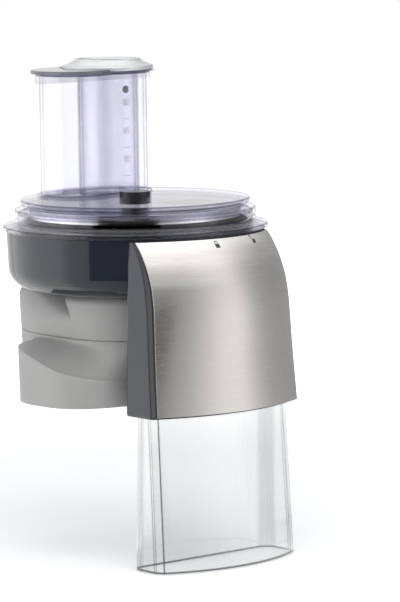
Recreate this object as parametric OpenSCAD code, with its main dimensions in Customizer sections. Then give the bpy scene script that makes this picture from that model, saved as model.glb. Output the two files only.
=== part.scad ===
// Continuous slicer and grater for a stand mixer: a geared base, a shallow bowl with a discharge
// chute, a lid with a bean-shaped feed tube, and two nested pushers.
// Millimetres. +Z is up and the chute is on the -Y side. The origin is on the drive axis, level
// with the underside of the base, where it sits on the mixer's outlet.

/* [Base] */
// Height of the base, from the mixer to its seat for the bowl
base_h = 72.2; // [68:0.1:88]
// Half width of the base's column and of its rear lobe
base_half_w = 58; // [52:0.5:58]
// Distance from the drive axis to the back of the rear lobe
base_back = 85.5; // [78:0.5:104]
// Half width of the foot that lies across the mixer
foot_half_w = 86; // [72:0.5:104]
// Half depth of the foot
foot_half_d = 46; // [38:0.5:52]
// Height of the foot's top edge beside the drive axis
foot_h = 30.5; // [22:0.5:36]
// Rise of the foot's top edge for each millimetre towards the back
foot_slope = 0.3; // [0.1:0.05:0.4]
// Height of the seam between the two base shells
seam_h = 42; // [36:0.5:46]
// Wall thickness of the base shells
base_wall = 3; // [2:0.1:4]
// Radius of the rounded top edge of the base
base_edge_r = 7; // [3:0.5:9]
// Radius of the finger scoops under the bowl
scoop_r = 30; // [22:0.5:34]
// Thickness of the closing plate
plate_t = 4; // [3:0.1:5]
// Radius of the socket that goes over the mixer's outlet
socket_r = 25; // [20:0.5:29]
// Depth of that socket
socket_depth = 14; // [11:0.5:18]
// Radius of a rubber pad
pad_r = 6; // [4:0.5:8]
// How far the pads stand out under the base
pad_out = 0.8; // [0.4:0.1:1.2]

/* [Drive] */
// Gear module
gear_module = 1.25; // [1:0.05:1.5]
// Teeth of the sun gear
sun_teeth = 12; // [12:6:12]
// Teeth of each planet gear
planet_teeth = 18; // [18:6:18]
// Face width of the gears
gear_w = 8; // [6:0.5:10]
// Radius of the input shaft
input_r = 4; // [3:0.1:5]
// Radius of the output shaft
shaft_r = 6; // [5:0.1:7]
// Radius of a planet pin
pin_r = 2.5; // [2:0.1:3]

/* [Bowl] */
// Diameter of the bowl at its rim
bowl_d = 172; // [168:1:206]
// Height of the bowl, from its floor to its rim
bowl_h = 38.5; // [32:0.5:47]
// Wall thickness of the bowl
bowl_wall = 2.6; // [2:0.1:3.4]
// Radius of the bowl's lower edge
bowl_edge_r = 15; // [10:0.5:16]
// Height of the collar that the lid locks on, above the rim
collar_h = 5.5; // [5.3:0.1:8]
// Radius of the tower around the spindle
tower_r = 12; // [11:0.5:14]

/* [Chute] */
// Half width of the chute at the bowl's rim
chute_top_w = 57.2; // [48:0.1:62]
// Half width of the chute at its lower end
chute_low_w = 61; // [56:0.5:66]
// Distance from the drive axis to the back of the chute
chute_back = 60.2; // [60:0.2:64]
// Length of the chute below the rim
chute_len = 113.6; // [108:0.2:130]
// Wall thickness of the chute
chute_wall = 2.4; // [1.8:0.1:3]
// Thickness of the steel panel
panel_t = 1; // [0.6:0.1:1.4]
// Width of the dark gap at each edge of the steel panel
trim_w = 1.3; // [1.2:0.1:2.4]
// Length of the clear extension below the chute
extension_len = 100.6; // [80:0.2:120]
// Length of the extension's plug inside the chute
plug_len = 16; // [10:0.5:20]
// Wall thickness of the extension
extension_wall = 2; // [1.5:0.1:2.6]

/* [Disc] */
// Radius of the cutting disc
disc_r = 70.5; // [60:0.5:70.5]
// Thickness of the disc's sheet
disc_t = 1.4; // [1:0.1:1.8]
// Depth of the disc's turned-down rim
disc_rim_h = 6; // [4:0.5:8]
// Height of the blade's edge above the disc
blade_h = 2.2; // [1.6:0.1:2.4]

/* [Lid and feed tube] */
// Height of the lid above the rim
lid_h = 20.4; // [19.5:0.1:22]
// Wall thickness of the lid
lid_wall = 2.2; // [1.8:0.1:2.6]
// How far the lid's flange stands out past the bowl's rim
lid_overhang = 2.3; // [1.5:0.1:3]
// Length of the feed tube above the lid
tube_len = 81.4; // [60:0.2:100]
// Distance from the drive axis to the middle of the feed tube
tube_centre_r = 45.8; // [42:0.2:45.8]
// Angle that the feed tube bends through on each side
tube_angle = 21.9; // [12:0.5:26]
// Half width of the feed tube, outside
tube_half_w = 25.1; // [20.5:0.1:25.1]
// Wall thickness of the feed tube
tube_wall = 2.2; // [1.8:0.1:2.6]
// Angle that the lid turns through to unlock
lid_turn = 25; // [20:1:30]

/* [Pushers] */
// Wall thickness of the large pusher
pusher_wall = 1.8; // [1.4:0.1:2.2]
// Overhang of the large pusher's plate past the feed tube
plate_overhang = 3.2; // [2:0.1:4]
// Thickness of that plate
pusher_plate_t = 2.5; // [2:0.1:3.5]
// How far the small pusher, which is also a measuring cup, stays inside the large one
cup_inset = 3; // [3:0.1:7]
// Wall thickness of the measuring cup
cup_wall = 1.6; // [1.2:0.1:2]
// Angle from the middle of the feed tube to the small pusher
cup_angle = 17.4; // [0:0.1:20]
// Radius of the cap on the small pusher
cap_r = 30.8; // [25:0.1:31]
// Height of the cap
cap_h = 7.3; // [5:0.1:9]

/* [Fits] */
// Gap between bodies that move past each other
slide_gap = 0.3; // [0.3:0.05:0.5]
// Gap between pieces that are fixed together
fixed_gap = 0.05; // [0.03:0.01:0.1]
// Radial clearance of a shaft that turns in its bore
run_fit = 0.05; // [0.02:0.01:0.08]

/* [Hidden] */
$fn = 96;

// Levels, from the mixer up
case_z = socket_depth;
case_floor = 3;
ring_z = case_z + 8;
gear_z = ring_z + 3;
gear_top = gear_z + gear_w;
carrier_z = gear_top + slide_gap;
carrier_t = 4;
carrier_top = carrier_z + carrier_t + 5.7;
cover_z = carrier_top + 0.5;
cover_t = 4;
cover_boss_top = cover_z + cover_t + 13.5;
bowl_z = base_h + slide_gap;
rim_z = bowl_z + bowl_h;
lid_z = rim_z + slide_gap;
lid_top = rim_z + lid_h;
tube_top = lid_top + tube_len;
chute_z = rim_z - chute_len;

// Base
outline_steps = 72;
lobe_power = 3;
seat_t = 2.7;
seat_hole_r = 37.4;
post_r = 5;
screw_r = 1.75;
scoop_out = 18;
scoop_up = 12;
scoop_y = 30;
screw_head_r = 3.5;
screw_head_h = 2.4;
screw_len = 16;
screw_places = [
    [foot_half_w - 12, 0], [12 - foot_half_w, 0],
    [0, base_back - base_wall - post_r + 1], [0, base_wall + post_r - 1 - base_half_w],
];
pad_places = [for (x = [-1, 1], y = [-1, 1]) [x * 0.64 * foot_half_w, y * 0.4 * foot_half_d]];
pad_t = 2.2;

// Gears: the ring is fixed, the sun drives and the carrier turns the output shaft
ring_teeth = sun_teeth + 2 * planet_teeth;
planet_centre_r = gear_module * (sun_teeth + planet_teeth) / 2;
planet_angles = [90, 210, 330];
pressure = 20;
tooth_tip = 0.8 * gear_module;
tooth_root = 1.25 * gear_module;
backlash = 0.14;
ring_r = gear_module * ring_teeth / 2 + tooth_root + 3.4;
case_r = ring_r + 3.5;
ring_h = gear_w + 4;
bush_wall = 3;
pilot_depth = 3;
coupling_r = 11;
coupling_z = 2.5;
coupling_depth = 8;
coupling_hex_r = 6.4;
pin_head_r = pin_r + 1.5;
pin_head_t = 1.1;

// Bowl, its tower and its two bayonets
bowl_r = bowl_d / 2;
bowl_draft = 1;
bowl_floor = 3;
tower_bore_r = shaft_r + 3;
tower_top = rim_z + 2.5;
collar_out_r = bowl_r - 9.2;
collar_wall = 2.2;
bowl_lug_r = collar_out_r + 1.1;
lug_h = 2;
lug_half_angle = 6;
lid_lug_angles = [9, 171, 216.5, 323.5];
lid_lug_z = rim_z + 0.8;
bowl_lug_z = lid_lug_z + lug_h + slide_gap;
spigot_r = seat_hole_r - 0.4;
spigot_wall = 3;
spigot_lug_r = spigot_r + 3;
spigot_angles = [30, 150, 270];
bowl_turn = 15;

// Chute: each level is [share of its length, how far its front has moved out]
chute_levels = [[0, 0], [0.07, 7.2], [0.145, 12.6], [0.247, 17.5], [0.404, 20.6], [0.64, 22.1], [1, 25]];
chute_corner_out = 3.4;
chute_corner_y = -sqrt(bowl_r * bowl_r - chute_top_w * chute_top_w) - chute_corner_out;
chute_sagitta_top = 19.8;
chute_sagitta_low = 14.3;
arc_steps = 28;
run_on = 1.5;
panel_top_drop = 1;
panel_low_rise = 1.4;
window_top = rim_z - 4.5;
window_half_w = chute_top_w - chute_wall;
extension_low_w = chute_low_w - 2;
extension_low_y = -89.8;
extension_low_sagitta = 16.4;

// Disc, hub and blade
disc_top = rim_z + 14.4;
hub_r = 10;
hub_flange_r = 16;
hub_flange_t = 3;
hex_r = 5.8;
hex_top = disc_top - disc_t - 2;
hub_pin_r = 3;
slot_w = 7;
slot_in = 22;
slot_out = disc_r - 5;
blade_t = 1.2;
rivet_r = 1.8;
rivet_places = [slot_in + 5, (slot_in + slot_out) / 2, slot_out - 5];

// Lid
lid_flange_r = bowl_r + lid_overhang;
lid_out_r = bowl_r - 5.6;
lid_in_r = lid_out_r - lid_wall;
neck_r = lid_out_r - 6.4;
crown_r = bowl_r - 9.5;
crown_t = 2.8;
crown_z = lid_top - crown_t;
shoulder_z = rim_z + 14.2;
lid_lug_r = lid_in_r - 1;
boss_r = 10.4;
boss_h = 4.1;
boss_stem_r = 8;

// Pushers
tube_bore = tube_half_w - tube_wall;
pusher_half_w = tube_bore - slide_gap;
pusher_z = disc_top + blade_h + 1.4;
pusher_floor = 2;
plate_low = tube_top + slide_gap;
plate_top = plate_low + pusher_plate_t;
cup_r = pusher_half_w - cup_inset;
cup_place = [tube_centre_r * sin(cup_angle), tube_centre_r * cos(cup_angle)];
cup_bore_r = cup_r + 0.4;
cup_sleeve_r = cup_bore_r + 1.6;
recess_z = plate_low + 0.8;
cap_z = recess_z + slide_gap;
cap_top = cap_z + cap_h;
cap_rim_h = 3.2;

silver = "#AEADA9";
slate = "#4B5157";
clear = [0.86, 0.86, 0.93, 0.35];
bright = "#C9C9C7";
dark = "#2A2C30";
brass = "#B99A56";
pearl = "#B8BCBC";

// ---- outlines ----

// A closed oval whose corners are squarer as its power rises.
function oval(a, b, power) = [
    for (i = [0 : outline_steps - 1])
        let (t = i * 360 / outline_steps)
        [a * sign(cos(t)) * pow(abs(cos(t)), 2 / power), b * sign(sin(t)) * pow(abs(sin(t)), 2 / power)]
];

// The column and rear lobe: a half circle in front and a squarer half oval behind, with a margin.
function base_outline(inset) = [
    for (i = [0 : outline_steps - 1])
        let (t = i * 360 / outline_steps, w = base_half_w - inset)
        sin(t) < 0
            ? [w * cos(t), w * sin(t)]
            : [w * sign(cos(t)) * pow(abs(cos(t)), 2 / lobe_power),
               (base_back - inset) * pow(sin(t), 2 / lobe_power)]
];

// Points on an arc of a circle, with angles from +Y towards +X.
function arc(centre, r, from, to, steps) = [
    for (i = [0 : steps])
        let (t = from + (to - from) * i / steps)
        [centre[0] + r * sin(t), centre[1] + r * cos(t)]
];

// The feed tube's bean: an arc-shaped slot with round ends, h on each side of its centre line.
function bean(h) =
    let (end = [tube_centre_r * sin(tube_angle), tube_centre_r * cos(tube_angle)])
    concat(
        arc([0, 0], tube_centre_r + h, -tube_angle, tube_angle, 12),
        [for (i = [1 : 17]) end + h * [sin(tube_angle + 10 * i), cos(tube_angle + 10 * i)]],
        arc([0, 0], tube_centre_r - h, tube_angle, -tube_angle, 8),
        [for (i = [1 : 17]) [-end[0], end[1]]
            + h * [sin(180 - tube_angle + 10 * i), cos(180 - tube_angle + 10 * i)]]
    );

// A plan outline with a bowed front: half width w, corners at y, bow s, and a flat back.
function bowed(w, y, s, back) =
    let (r = (w * w + s * s) / (2 * s), half = asin(w / r))
    concat([[w, -back]], arc([0, y - s + r], r, 180 - half, 180 + half, arc_steps), [[-w, -back]]);

// How far the chute's front has moved out at share k of its length, past either end too.
function chute_forward(k) =
    let (n = len(chute_levels), lowest = chute_levels[n - 1], before = chute_levels[n - 2])
    k < 0 ? k * chute_levels[1][1] / chute_levels[1][0]
    : k > 1 ? lowest[1] + (k - 1) * (lowest[1] - before[1]) / (lowest[0] - before[0])
    : lookup(k, chute_levels);

// One level of the chute, k along its length, set back from the front and in from the sides.
function chute_outline(k, front_in, side_in, back) =
    let (
        w = chute_top_w + (chute_low_w - chute_top_w) * k,
        s = chute_sagitta_top + (chute_sagitta_low - chute_sagitta_top) * k,
        edge = w - trim_w,
        r = (edge * edge + s * s) / (2 * s),
        centre = chute_corner_y - chute_forward(k) - s + r,
        half = asin((w - side_in) / (r - front_in))
    )
    concat(
        [[w - side_in, -back]],
        arc([0, centre], r - front_in, 180 - half, 180 + half, arc_steps),
        [[side_in - w, -back]]
    );

// Half the angle of a gear tooth at radius r, from its involute flank.
function involute(a) = tan(a) * 180 / PI - a;
function half_tooth(r, pitch_r, thickness) =
    let (base_r = pitch_r * cos(pressure))
    thickness * 90 / (PI * pitch_r) + involute(pressure) - involute(acos(min(1, base_r / r)));

// Outline of a gear with a tooth centred on angle 0.
function gear_outline(teeth, thickness, tip, root) =
    let (
        pitch_r = gear_module * teeth / 2,
        start = max(pitch_r * cos(pressure), pitch_r - root),
        top = pitch_r + tip,
        flank = [for (i = [0 : 4]) start + (top - start) * i / 4]
    )
    [for (n = [0 : teeth - 1])
        let (c = n * 360 / teeth)
        for (p = concat(
            [[pitch_r - root, c - half_tooth(start, pitch_r, thickness)]],
            [for (r = flank) [r, c - half_tooth(r, pitch_r, thickness)]],
            [for (i = [4 : -1 : 0]) [flank[i], c + half_tooth(flank[i], pitch_r, thickness)]],
            [[pitch_r - root, c + half_tooth(start, pitch_r, thickness)]]
        ))
        p[0] * [cos(p[1]), sin(p[1])]];

// ---- shared shapes ----

module disc(r, z, h) {
    translate([0, 0, z]) cylinder(r = r, h = h);
}

module ring(outer, inner, z, h) {
    translate([0, 0, z]) difference() {
        cylinder(r = outer, h = h);
        translate([0, 0, -1]) cylinder(r = inner, h = h + 2);
    }
}

module prism(points, z, h) {
    translate([0, 0, z]) linear_extrude(height = h) polygon(points);
}

// The points of an outline, counterclockwise seen from above.
function ccw(points) =
    let (n = len(points), turns = [for (i = [0 : n - 1]) cross(points[i], points[(i + 1) % n])])
    turns * [for (i = [0 : n - 1]) 1] > 0 ? points : [for (i = [n - 1 : -1 : 0]) points[i]];

// A solid through sections [height, outline], lowest first, whose outlines have as many points.
module loft(sections) {
    n = len(sections[0][1]);
    m = len(sections);
    polyhedron(
        [for (s = sections) for (p = ccw(s[1])) [p[0], p[1], s[0]]],
        concat(
            [[for (i = [0 : n - 1]) i], [for (i = [n - 1 : -1 : 0]) (m - 1) * n + i]],
            [for (k = [0 : m - 2], i = [0 : n - 1])
                let (a = k * n + i, b = k * n + (i + 1) % n)
                for (t = [[a, a + n, b + n], [a, b + n, b]]) t]
        )
    );
}

// Lugs that stand out between two radii, one at each angle.
module lugs(angles, inner, outer, half, z, h) {
    for (a = angles) rotate([0, 0, a]) intersection() {
        ring(outer, inner, z, h);
        translate([0, 0, z - 1]) linear_extrude(height = h + 2)
            polygon([[0, 0], 2 * outer * [cos(half), -sin(half)], 2 * outer * [cos(half), sin(half)]]);
    }
}

// ---- base ----

// The foot: a wide oval across the mixer, with its top edge rising towards the back.
module foot(inset, drop, z) {
    intersection() {
        prism(oval(foot_half_w - inset, foot_half_d - inset, lobe_power), z, seam_h - drop - z);
        translate([0, 0, foot_h - drop]) rotate([atan(foot_slope), 0, 0])
            translate([-150, -150, -200]) cube([300, 300, 200]);
    }
}

module base_lower_shell() color(silver) difference() {
    union() {
        difference() {
            union() {
                prism(base_outline(0), 0, seam_h);
                foot(0, 0, 0);
            }
            prism(base_outline(base_wall), -1, seam_h + 2);
            foot(base_wall, base_wall, -1);
        }
        for (p = screw_places) translate([p[0], p[1], plate_t])
            cylinder(r = post_r, h = foot_h - base_wall - plate_t);
    }
    for (p = screw_places) translate([p[0], p[1], 0]) cylinder(r = screw_r, h = screw_len + 2);
    // Room for the rim of the upper shell
    prism(base_outline(base_wall / 2), seam_h - 3, 4);
}

// The rounded outside of the base above its seam.
module upper_body() {
    loft(concat(
        [[seam_h, base_outline(0)]],
        [for (a = [0 : 15 : 90])
            [base_h - base_edge_r * (1 - sin(a)), base_outline(base_edge_r * (1 - cos(a)))]]
    ));
}

// Hollows in the top edge of the base, for the fingers that turn the bowl.
module scoops(skin) {
    for (s = [-1, 1]) translate([s * (base_half_w + scoop_out), scoop_y, base_h + scoop_up])
        sphere(r = scoop_r + skin);
}

module base_upper_shell() color(silver) difference() {
    union() {
        upper_body();
        prism(base_outline(base_wall / 2 + fixed_gap), seam_h - 3 + fixed_gap, 4);
    }
    difference() {
        prism(base_outline(base_wall), seam_h - 4, base_h - seat_t - seam_h + 4);
        scoops(base_wall);
    }
    disc(seat_hole_r, base_h - seat_t - 1, seat_t + 2);
    // Notches that let the bowl's lugs in when it is turned
    lugs([for (a = spigot_angles) a + bowl_turn + 6], seat_hole_r - 1, spigot_lug_r + slide_gap,
        lug_half_angle + 2, base_h - seat_t - 1, seat_t + 2);
    scoops(0);
}

module base_plate() color(dark) difference() {
    union() {
        prism(base_outline(base_wall + fixed_gap), 0, plate_t - fixed_gap);
        prism(oval(foot_half_w - base_wall - fixed_gap, foot_half_d - base_wall - fixed_gap, lobe_power),
            0, plate_t - fixed_gap);
        disc(socket_r + 3, 0, socket_depth);
    }
    disc(socket_r, -1, socket_depth + 2);
    for (p = screw_places) translate([p[0], p[1], 0]) {
        translate([0, 0, -1]) cylinder(r = screw_r + fixed_gap, h = plate_t + 2);
        translate([0, 0, -1]) cylinder(r = screw_head_r + fixed_gap, h = 1 + screw_head_h + fixed_gap);
    }
    for (p = pad_places) translate([p[0], p[1], -1])
        cylinder(r = pad_r + fixed_gap, h = 1 + pad_t - pad_out + fixed_gap);
}

module base_screws() color(bright) for (p = screw_places) translate([p[0], p[1], 0]) {
    difference() {
        cylinder(r = screw_head_r, h = screw_head_h);
        for (a = [0, 90]) rotate([0, 0, a]) translate([-2.2, -0.4, -1]) cube([4.4, 0.8, 2]);
    }
    translate([0, 0, screw_head_h]) cylinder(r = screw_r - fixed_gap, h = screw_len - screw_head_h);
}

module rubber_pads() color(dark) for (p = pad_places) translate([p[0], p[1], -pad_out])
    cylinder(r = pad_r, h = pad_t);

// ---- drive ----

module gear_case() color(bright) difference() {
    disc(case_r, case_z, cover_z - case_z);
    disc(input_r + bush_wall + fixed_gap, case_z - 1, 10);
    disc(ring_r - 2, case_z + case_floor, cover_z);
    disc(ring_r + fixed_gap, ring_z, cover_z);
    cover_screw_holes(cover_z - 8, 10, screw_r);
}

module cover_screw_holes(z, h, r) {
    for (a = [45 : 90 : 315]) rotate([0, 0, a]) translate([case_r - 1, 0, z]) cylinder(r = r, h = h);
}

module gear_case_cover() color(bright) difference() {
    union() {
        disc(case_r, cover_z, cover_t);
        disc(shaft_r + bush_wall + 5, cover_z, cover_boss_top - cover_z);
        for (a = [45 : 90 : 315]) rotate([0, 0, a]) translate([case_r - 1, 0, cover_z])
            cylinder(r = 4.5, h = cover_t);
    }
    disc(shaft_r + bush_wall + fixed_gap, cover_z - 1, cover_boss_top);
    cover_screw_holes(cover_z - 1, cover_t + 2, screw_r + fixed_gap);
}

module cover_screws() color(bright) {
    cover_screw_holes(cover_z - 7, cover_t + 7, screw_r - fixed_gap);
    cover_screw_holes(cover_z + cover_t, 1.8, screw_head_r);
}

module ring_gear() color("#E8E4D8") difference() {
    disc(ring_r, ring_z, ring_h);
    rotate([0, 0, 180 / ring_teeth])
        prism(gear_outline(ring_teeth, PI * gear_module / 2 + backlash, tooth_root, tooth_tip),
            ring_z - 1, ring_h + 2);
}

module spur_gear(teeth, bore) {
    difference() {
        prism(gear_outline(teeth, PI * gear_module / 2 - backlash, tooth_tip, tooth_root), gear_z, gear_w);
        disc(bore, gear_z - 1, gear_w + 2);
    }
}

module sun_gear() color(bright) spur_gear(sun_teeth, input_r + fixed_gap);

module planet_gear(n) {
    rotate([0, 0, planet_angles[n]]) translate([planet_centre_r, 0, 0])
        rotate([0, 0, 180 / planet_teeth]) spur_gear(planet_teeth, pin_r + run_fit);
}
module planet_gear_1() color("#E8E4D8") planet_gear(0);
module planet_gear_2() color("#E8E4D8") planet_gear(1);
module planet_gear_3() color("#E8E4D8") planet_gear(2);

module planet_pins() color(bright) for (a = planet_angles)
    rotate([0, 0, a]) translate([planet_centre_r, 0, 0]) {
        disc(pin_r, gear_z - slide_gap - pin_head_t, carrier_z + carrier_t - gear_z + slide_gap + pin_head_t);
        disc(pin_head_r, gear_z - slide_gap - pin_head_t, pin_head_t);
    }

module planet_carrier() color(bright) difference() {
    union() {
        disc(planet_centre_r + pin_r + 4, carrier_z, carrier_t);
        disc(shaft_r + 4, carrier_z, carrier_top - carrier_z);
    }
    disc(input_r + run_fit, carrier_z - 1, 1 + pilot_depth);
    disc(shaft_r + fixed_gap, carrier_z + pilot_depth - 1, carrier_top);
    for (a = planet_angles) rotate([0, 0, a]) translate([planet_centre_r, 0, 0])
        disc(pin_r + fixed_gap, carrier_z - 1, carrier_t + 2);
}

module input_coupling() color(bright) difference() {
    disc(coupling_r, coupling_z, case_z - 0.5 - coupling_z);
    translate([0, 0, coupling_z - 1]) cylinder(r = coupling_hex_r, h = 1 + coupling_depth, $fn = 6);
    disc(input_r + fixed_gap, coupling_z, case_z);
}

module input_shaft() color(bright)
    disc(input_r, coupling_z + coupling_depth + 0.2, carrier_z + pilot_depth - 1.5 - coupling_z - coupling_depth);

module lower_bush() color(brass) ring(input_r + bush_wall, input_r + run_fit, case_z, ring_z - case_z);

module upper_bush() color(brass)
    ring(shaft_r + bush_wall, shaft_r + run_fit, cover_z + 1, cover_boss_top - cover_z - 1);

module output_shaft() color(bright) {
    shaft_z = carrier_z + pilot_depth - 0.8;
    disc(shaft_r, shaft_z, tower_top + 1 - shaft_z);
    translate([0, 0, tower_top + 1]) cylinder(r = hex_r, h = hex_top - tower_top - 1, $fn = 6);
}

module shaft_circlip() color(dark) difference() {
    ring(shaft_r + 2.5, shaft_r + fixed_gap, cover_boss_top + slide_gap, 1);
    translate([0, -1.5, cover_boss_top]) cube([20, 3, 3]);
}

module shaft_seal() color(dark) ring(tower_bore_r - fixed_gap, shaft_r + run_fit, tower_top - 6, 5);

// ---- bowl ----

// Solid shape of the bowl, drawn in from its outside by a margin.
module bowl_body(inset) {
    foot_r = bowl_r - bowl_draft - bowl_edge_r;
    rotate_extrude() polygon(concat(
        [[0, bowl_z + inset]],
        [for (a = [0 : 10 : 90])
            [foot_r + (bowl_edge_r - inset) * sin(a), bowl_z + bowl_edge_r - (bowl_edge_r - inset) * cos(a)]],
        [[bowl_r - inset, rim_z], [0, rim_z]]
    ));
}

module bowl() color(slate) difference() {
    union() {
        difference() {
            bowl_body(0);
            bowl_body(bowl_wall);
        }
        ring(bowl_r - 1, collar_out_r - collar_wall, rim_z - bowl_wall, bowl_wall);
        ring(collar_out_r, collar_out_r - collar_wall, rim_z - bowl_wall, collar_h + bowl_wall);
        lugs(lid_lug_angles, collar_out_r - 1, bowl_lug_r, lug_half_angle, bowl_lug_z, lug_h);
        disc(tower_r, bowl_z, tower_top - bowl_z);
        ring(spigot_r, spigot_r - spigot_wall, bowl_z - 6, 6 + bowl_floor - 1);
        lugs(spigot_angles, spigot_r - 1, spigot_lug_r, lug_half_angle, bowl_z - 6, 6 - seat_t - 2 * slide_gap);
    }
    disc(tower_bore_r, bowl_z - 1, tower_top);
    // The way out to the chute, through the floor and the front wall
    translate([-window_half_w, -bowl_r - 20, bowl_z - 5])
        cube([2 * window_half_w, bowl_r + 20 - chute_back - chute_wall, window_top - bowl_z + 5]);
}

// ---- chute ----

// The chute as a solid, set back from its front and in from its sides. With a length beyond,
// its ends run on past the chute, so that it can cut right through.
module chute_core(front_in, side_in, back, beyond = 0) {
    low = 1 + beyond / chute_len;
    inner = [for (i = [len(chute_levels) - 2 : -1 : 1]) chute_levels[i][0]];
    loft([for (k = concat([low], inner, [1 - low]))
        [rim_z - k * chute_len, chute_outline(k, front_in, side_in, back)]]);
}

module chute_housing() color(slate) difference() {
    chute_core(panel_t + 2 * fixed_gap, 0, chute_back);
    chute_core(panel_t + 2 * fixed_gap + chute_wall, chute_wall, chute_back + chute_wall, run_on);
    bowl_body(0);
    disc(bowl_r + 20, rim_z - panel_top_drop, 20);
}

// A thin skin on the front of the chute, between two depths and inside a side margin.
module front_skin(outer_in, inner_in, side_in) {
    difference() {
        chute_core(outer_in, side_in, chute_back);
        chute_core(inner_in, -3, chute_back - 5, run_on);
        disc(bowl_r + 60, rim_z - panel_top_drop, 20);
        disc(bowl_r + 60, chute_z - 1, 1 + panel_low_rise);
    }
}

module steel_panel() color(bright) front_skin(0, panel_t, trim_w);

module panel_trim() color(dark) difference() {
    front_skin(0.35, panel_t, 0.25);
    chute_core(-1, trim_w - fixed_gap, chute_back, run_on);
}

// The extension as a solid, drawn in by a margin, with its ends run on by a length.
module extension_core(inset, over) {
    gap = chute_wall + slide_gap + inset;
    plug = chute_outline(1 - plug_len / chute_len, panel_t + 2 * fixed_gap + gap, gap, chute_back + gap);
    end = bowed(extension_low_w - inset, extension_low_y + inset, extension_low_sagitta,
        chute_back + 0.3 + inset);
    loft([
        [chute_z - extension_len - over, end],
        [chute_z - 1, plug],
        [chute_z + plug_len + over, plug],
    ]);
}

module chute_extension() color(clear) difference() {
    extension_core(0, 0);
    extension_core(extension_wall, 1);
}

// ---- disc ----

module disc_hub() color(dark) difference() {
    union() {
        disc(hub_r, tower_top + 1.5, disc_top - disc_t - tower_top - 1.5);
        disc(hub_flange_r, disc_top - disc_t - hub_flange_t, hub_flange_t);
        disc(hub_pin_r, disc_top - disc_t - 1, lid_top + 2.2 - disc_top + disc_t + 1);
        disc(9, disc_top + fixed_gap, 1.6);
    }
    translate([0, 0, tower_top]) cylinder(r = hex_r + 2 * fixed_gap, h = hex_top + 0.5 - tower_top, $fn = 6);
}

module cutting_disc() color(bright) difference() {
    union() {
        disc(disc_r, disc_top - disc_t, disc_t);
        ring(disc_r, disc_r - disc_t, disc_top - disc_rim_h, disc_rim_h);
    }
    disc(hub_pin_r + fixed_gap, disc_top - 10, 20);
    translate([slot_in, -slot_w, disc_top - 5]) cube([slot_out - slot_in, slot_w, 10]);
    for (x = rivet_places) translate([x, 5, disc_top - 5]) cylinder(r = rivet_r, h = 10);
}

module slicing_blade() color(bright) difference() {
    rotate([90, 0, 90]) translate([0, 0, slot_in + 0.5]) linear_extrude(height = slot_out - slot_in - 1)
        polygon([
            [9, disc_top + fixed_gap], [9, disc_top + fixed_gap + blade_t],
            [-3, disc_top + blade_h], [-3.4, disc_top + blade_h - 0.3], [1.5, disc_top + fixed_gap],
        ]);
    for (x = rivet_places) translate([x, 5, disc_top - 5]) cylinder(r = rivet_r, h = 10);
}

module blade_rivets() color(bright) for (x = rivet_places) translate([x, 5, 0])
    disc(rivet_r - fixed_gap, disc_top - disc_t, disc_t + fixed_gap + blade_t + 0.7);

// ---- lid ----

module lid() color(clear) difference() {
    union() {
        rotate_extrude() difference() {
            polygon(concat(
                [[0, lid_z], [lid_flange_r - 0.3, lid_z], [lid_flange_r, lid_z + 1.2], [lid_flange_r, lid_z + 3]],
                // A hollow slope from the flange up to the wall
                [for (a = [0 : 15 : 90])
                    [lid_flange_r - 0.6 - (lid_flange_r - lid_out_r - 0.6) * sin(a),
                     lid_z + 7 - 3.6 * cos(a)]],
                [[lid_out_r, shoulder_z - 1], [lid_out_r - 1, shoulder_z], [neck_r, shoulder_z + 1.4],
                 [neck_r, crown_z - 0.6], [crown_r - 0.6, crown_z - 0.6], [crown_r, crown_z],
                 [crown_r, lid_top - 0.8], [crown_r - 0.8, lid_top], [0, lid_top]]
            ));
            polygon([
                [-1, lid_z - 1], [lid_in_r, lid_z - 1], [lid_in_r, shoulder_z - lid_wall],
                [neck_r - lid_wall, shoulder_z - lid_wall + 1.4], [neck_r - lid_wall, crown_z], [-1, crown_z],
            ]);
        }
        lugs(lid_lug_angles, lid_lug_r, lid_in_r + 1, lug_half_angle + 2, lid_lug_z, lug_h);
    }
    prism(bean(tube_bore), crown_z - 1, crown_t + 2);
    disc(boss_stem_r + fixed_gap, crown_z - 1, crown_t + 2);
}

module lid_bush() color(dark) difference() {
    union() {
        disc(boss_stem_r, crown_z, crown_t);
        disc(boss_r, lid_top, boss_h);
    }
    disc(hub_pin_r + run_fit, crown_z - 1, lid_top + 2.5 - crown_z + 1);
}

module feed_tube() color(clear) difference() {
    prism(bean(tube_half_w), lid_top, tube_len);
    prism(bean(tube_bore), lid_top - 1, tube_len + 2);
}

// ---- pushers ----

module large_pusher() color(clear) difference() {
    union() {
        difference() {
            prism(bean(pusher_half_w), pusher_z, plate_low - pusher_z);
            prism(bean(pusher_half_w - pusher_wall), pusher_z + pusher_floor, tube_top);
        }
        translate(cup_place) disc(cup_sleeve_r, pusher_z, plate_low - pusher_z);
    }
    translate(cup_place) disc(cup_bore_r, pusher_z - 1, tube_top);
}

module pusher_plate() color("#9A9CA6") difference() {
    prism(bean(tube_half_w + plate_overhang), plate_low, pusher_plate_t);
    translate(cup_place) disc(cup_bore_r, plate_low - 1, 20);
    translate(cup_place) disc(cap_r + 1.4, recess_z, 20);
}

module small_pusher() color(clear) translate(cup_place) difference() {
    disc(cup_r, pusher_z, cap_top - 2.5 - pusher_z);
    disc(cup_r - cup_wall, pusher_z + pusher_floor, cap_top);
}

module pusher_cap() color(pearl) translate(cup_place) rotate_extrude() polygon([
    [cup_r + fixed_gap, cap_z], [cap_r - 0.6, cap_z], [cap_r, cap_z + 0.8], [cap_r, cap_z + cap_rim_h - 0.6],
    [cap_r - 0.8, cap_z + cap_rim_h], [cup_r + 3.2, cap_top - 0.6], [cup_r + 1.8, cap_top],
    [cup_r + fixed_gap, cap_top - 1.2],
]);

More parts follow.
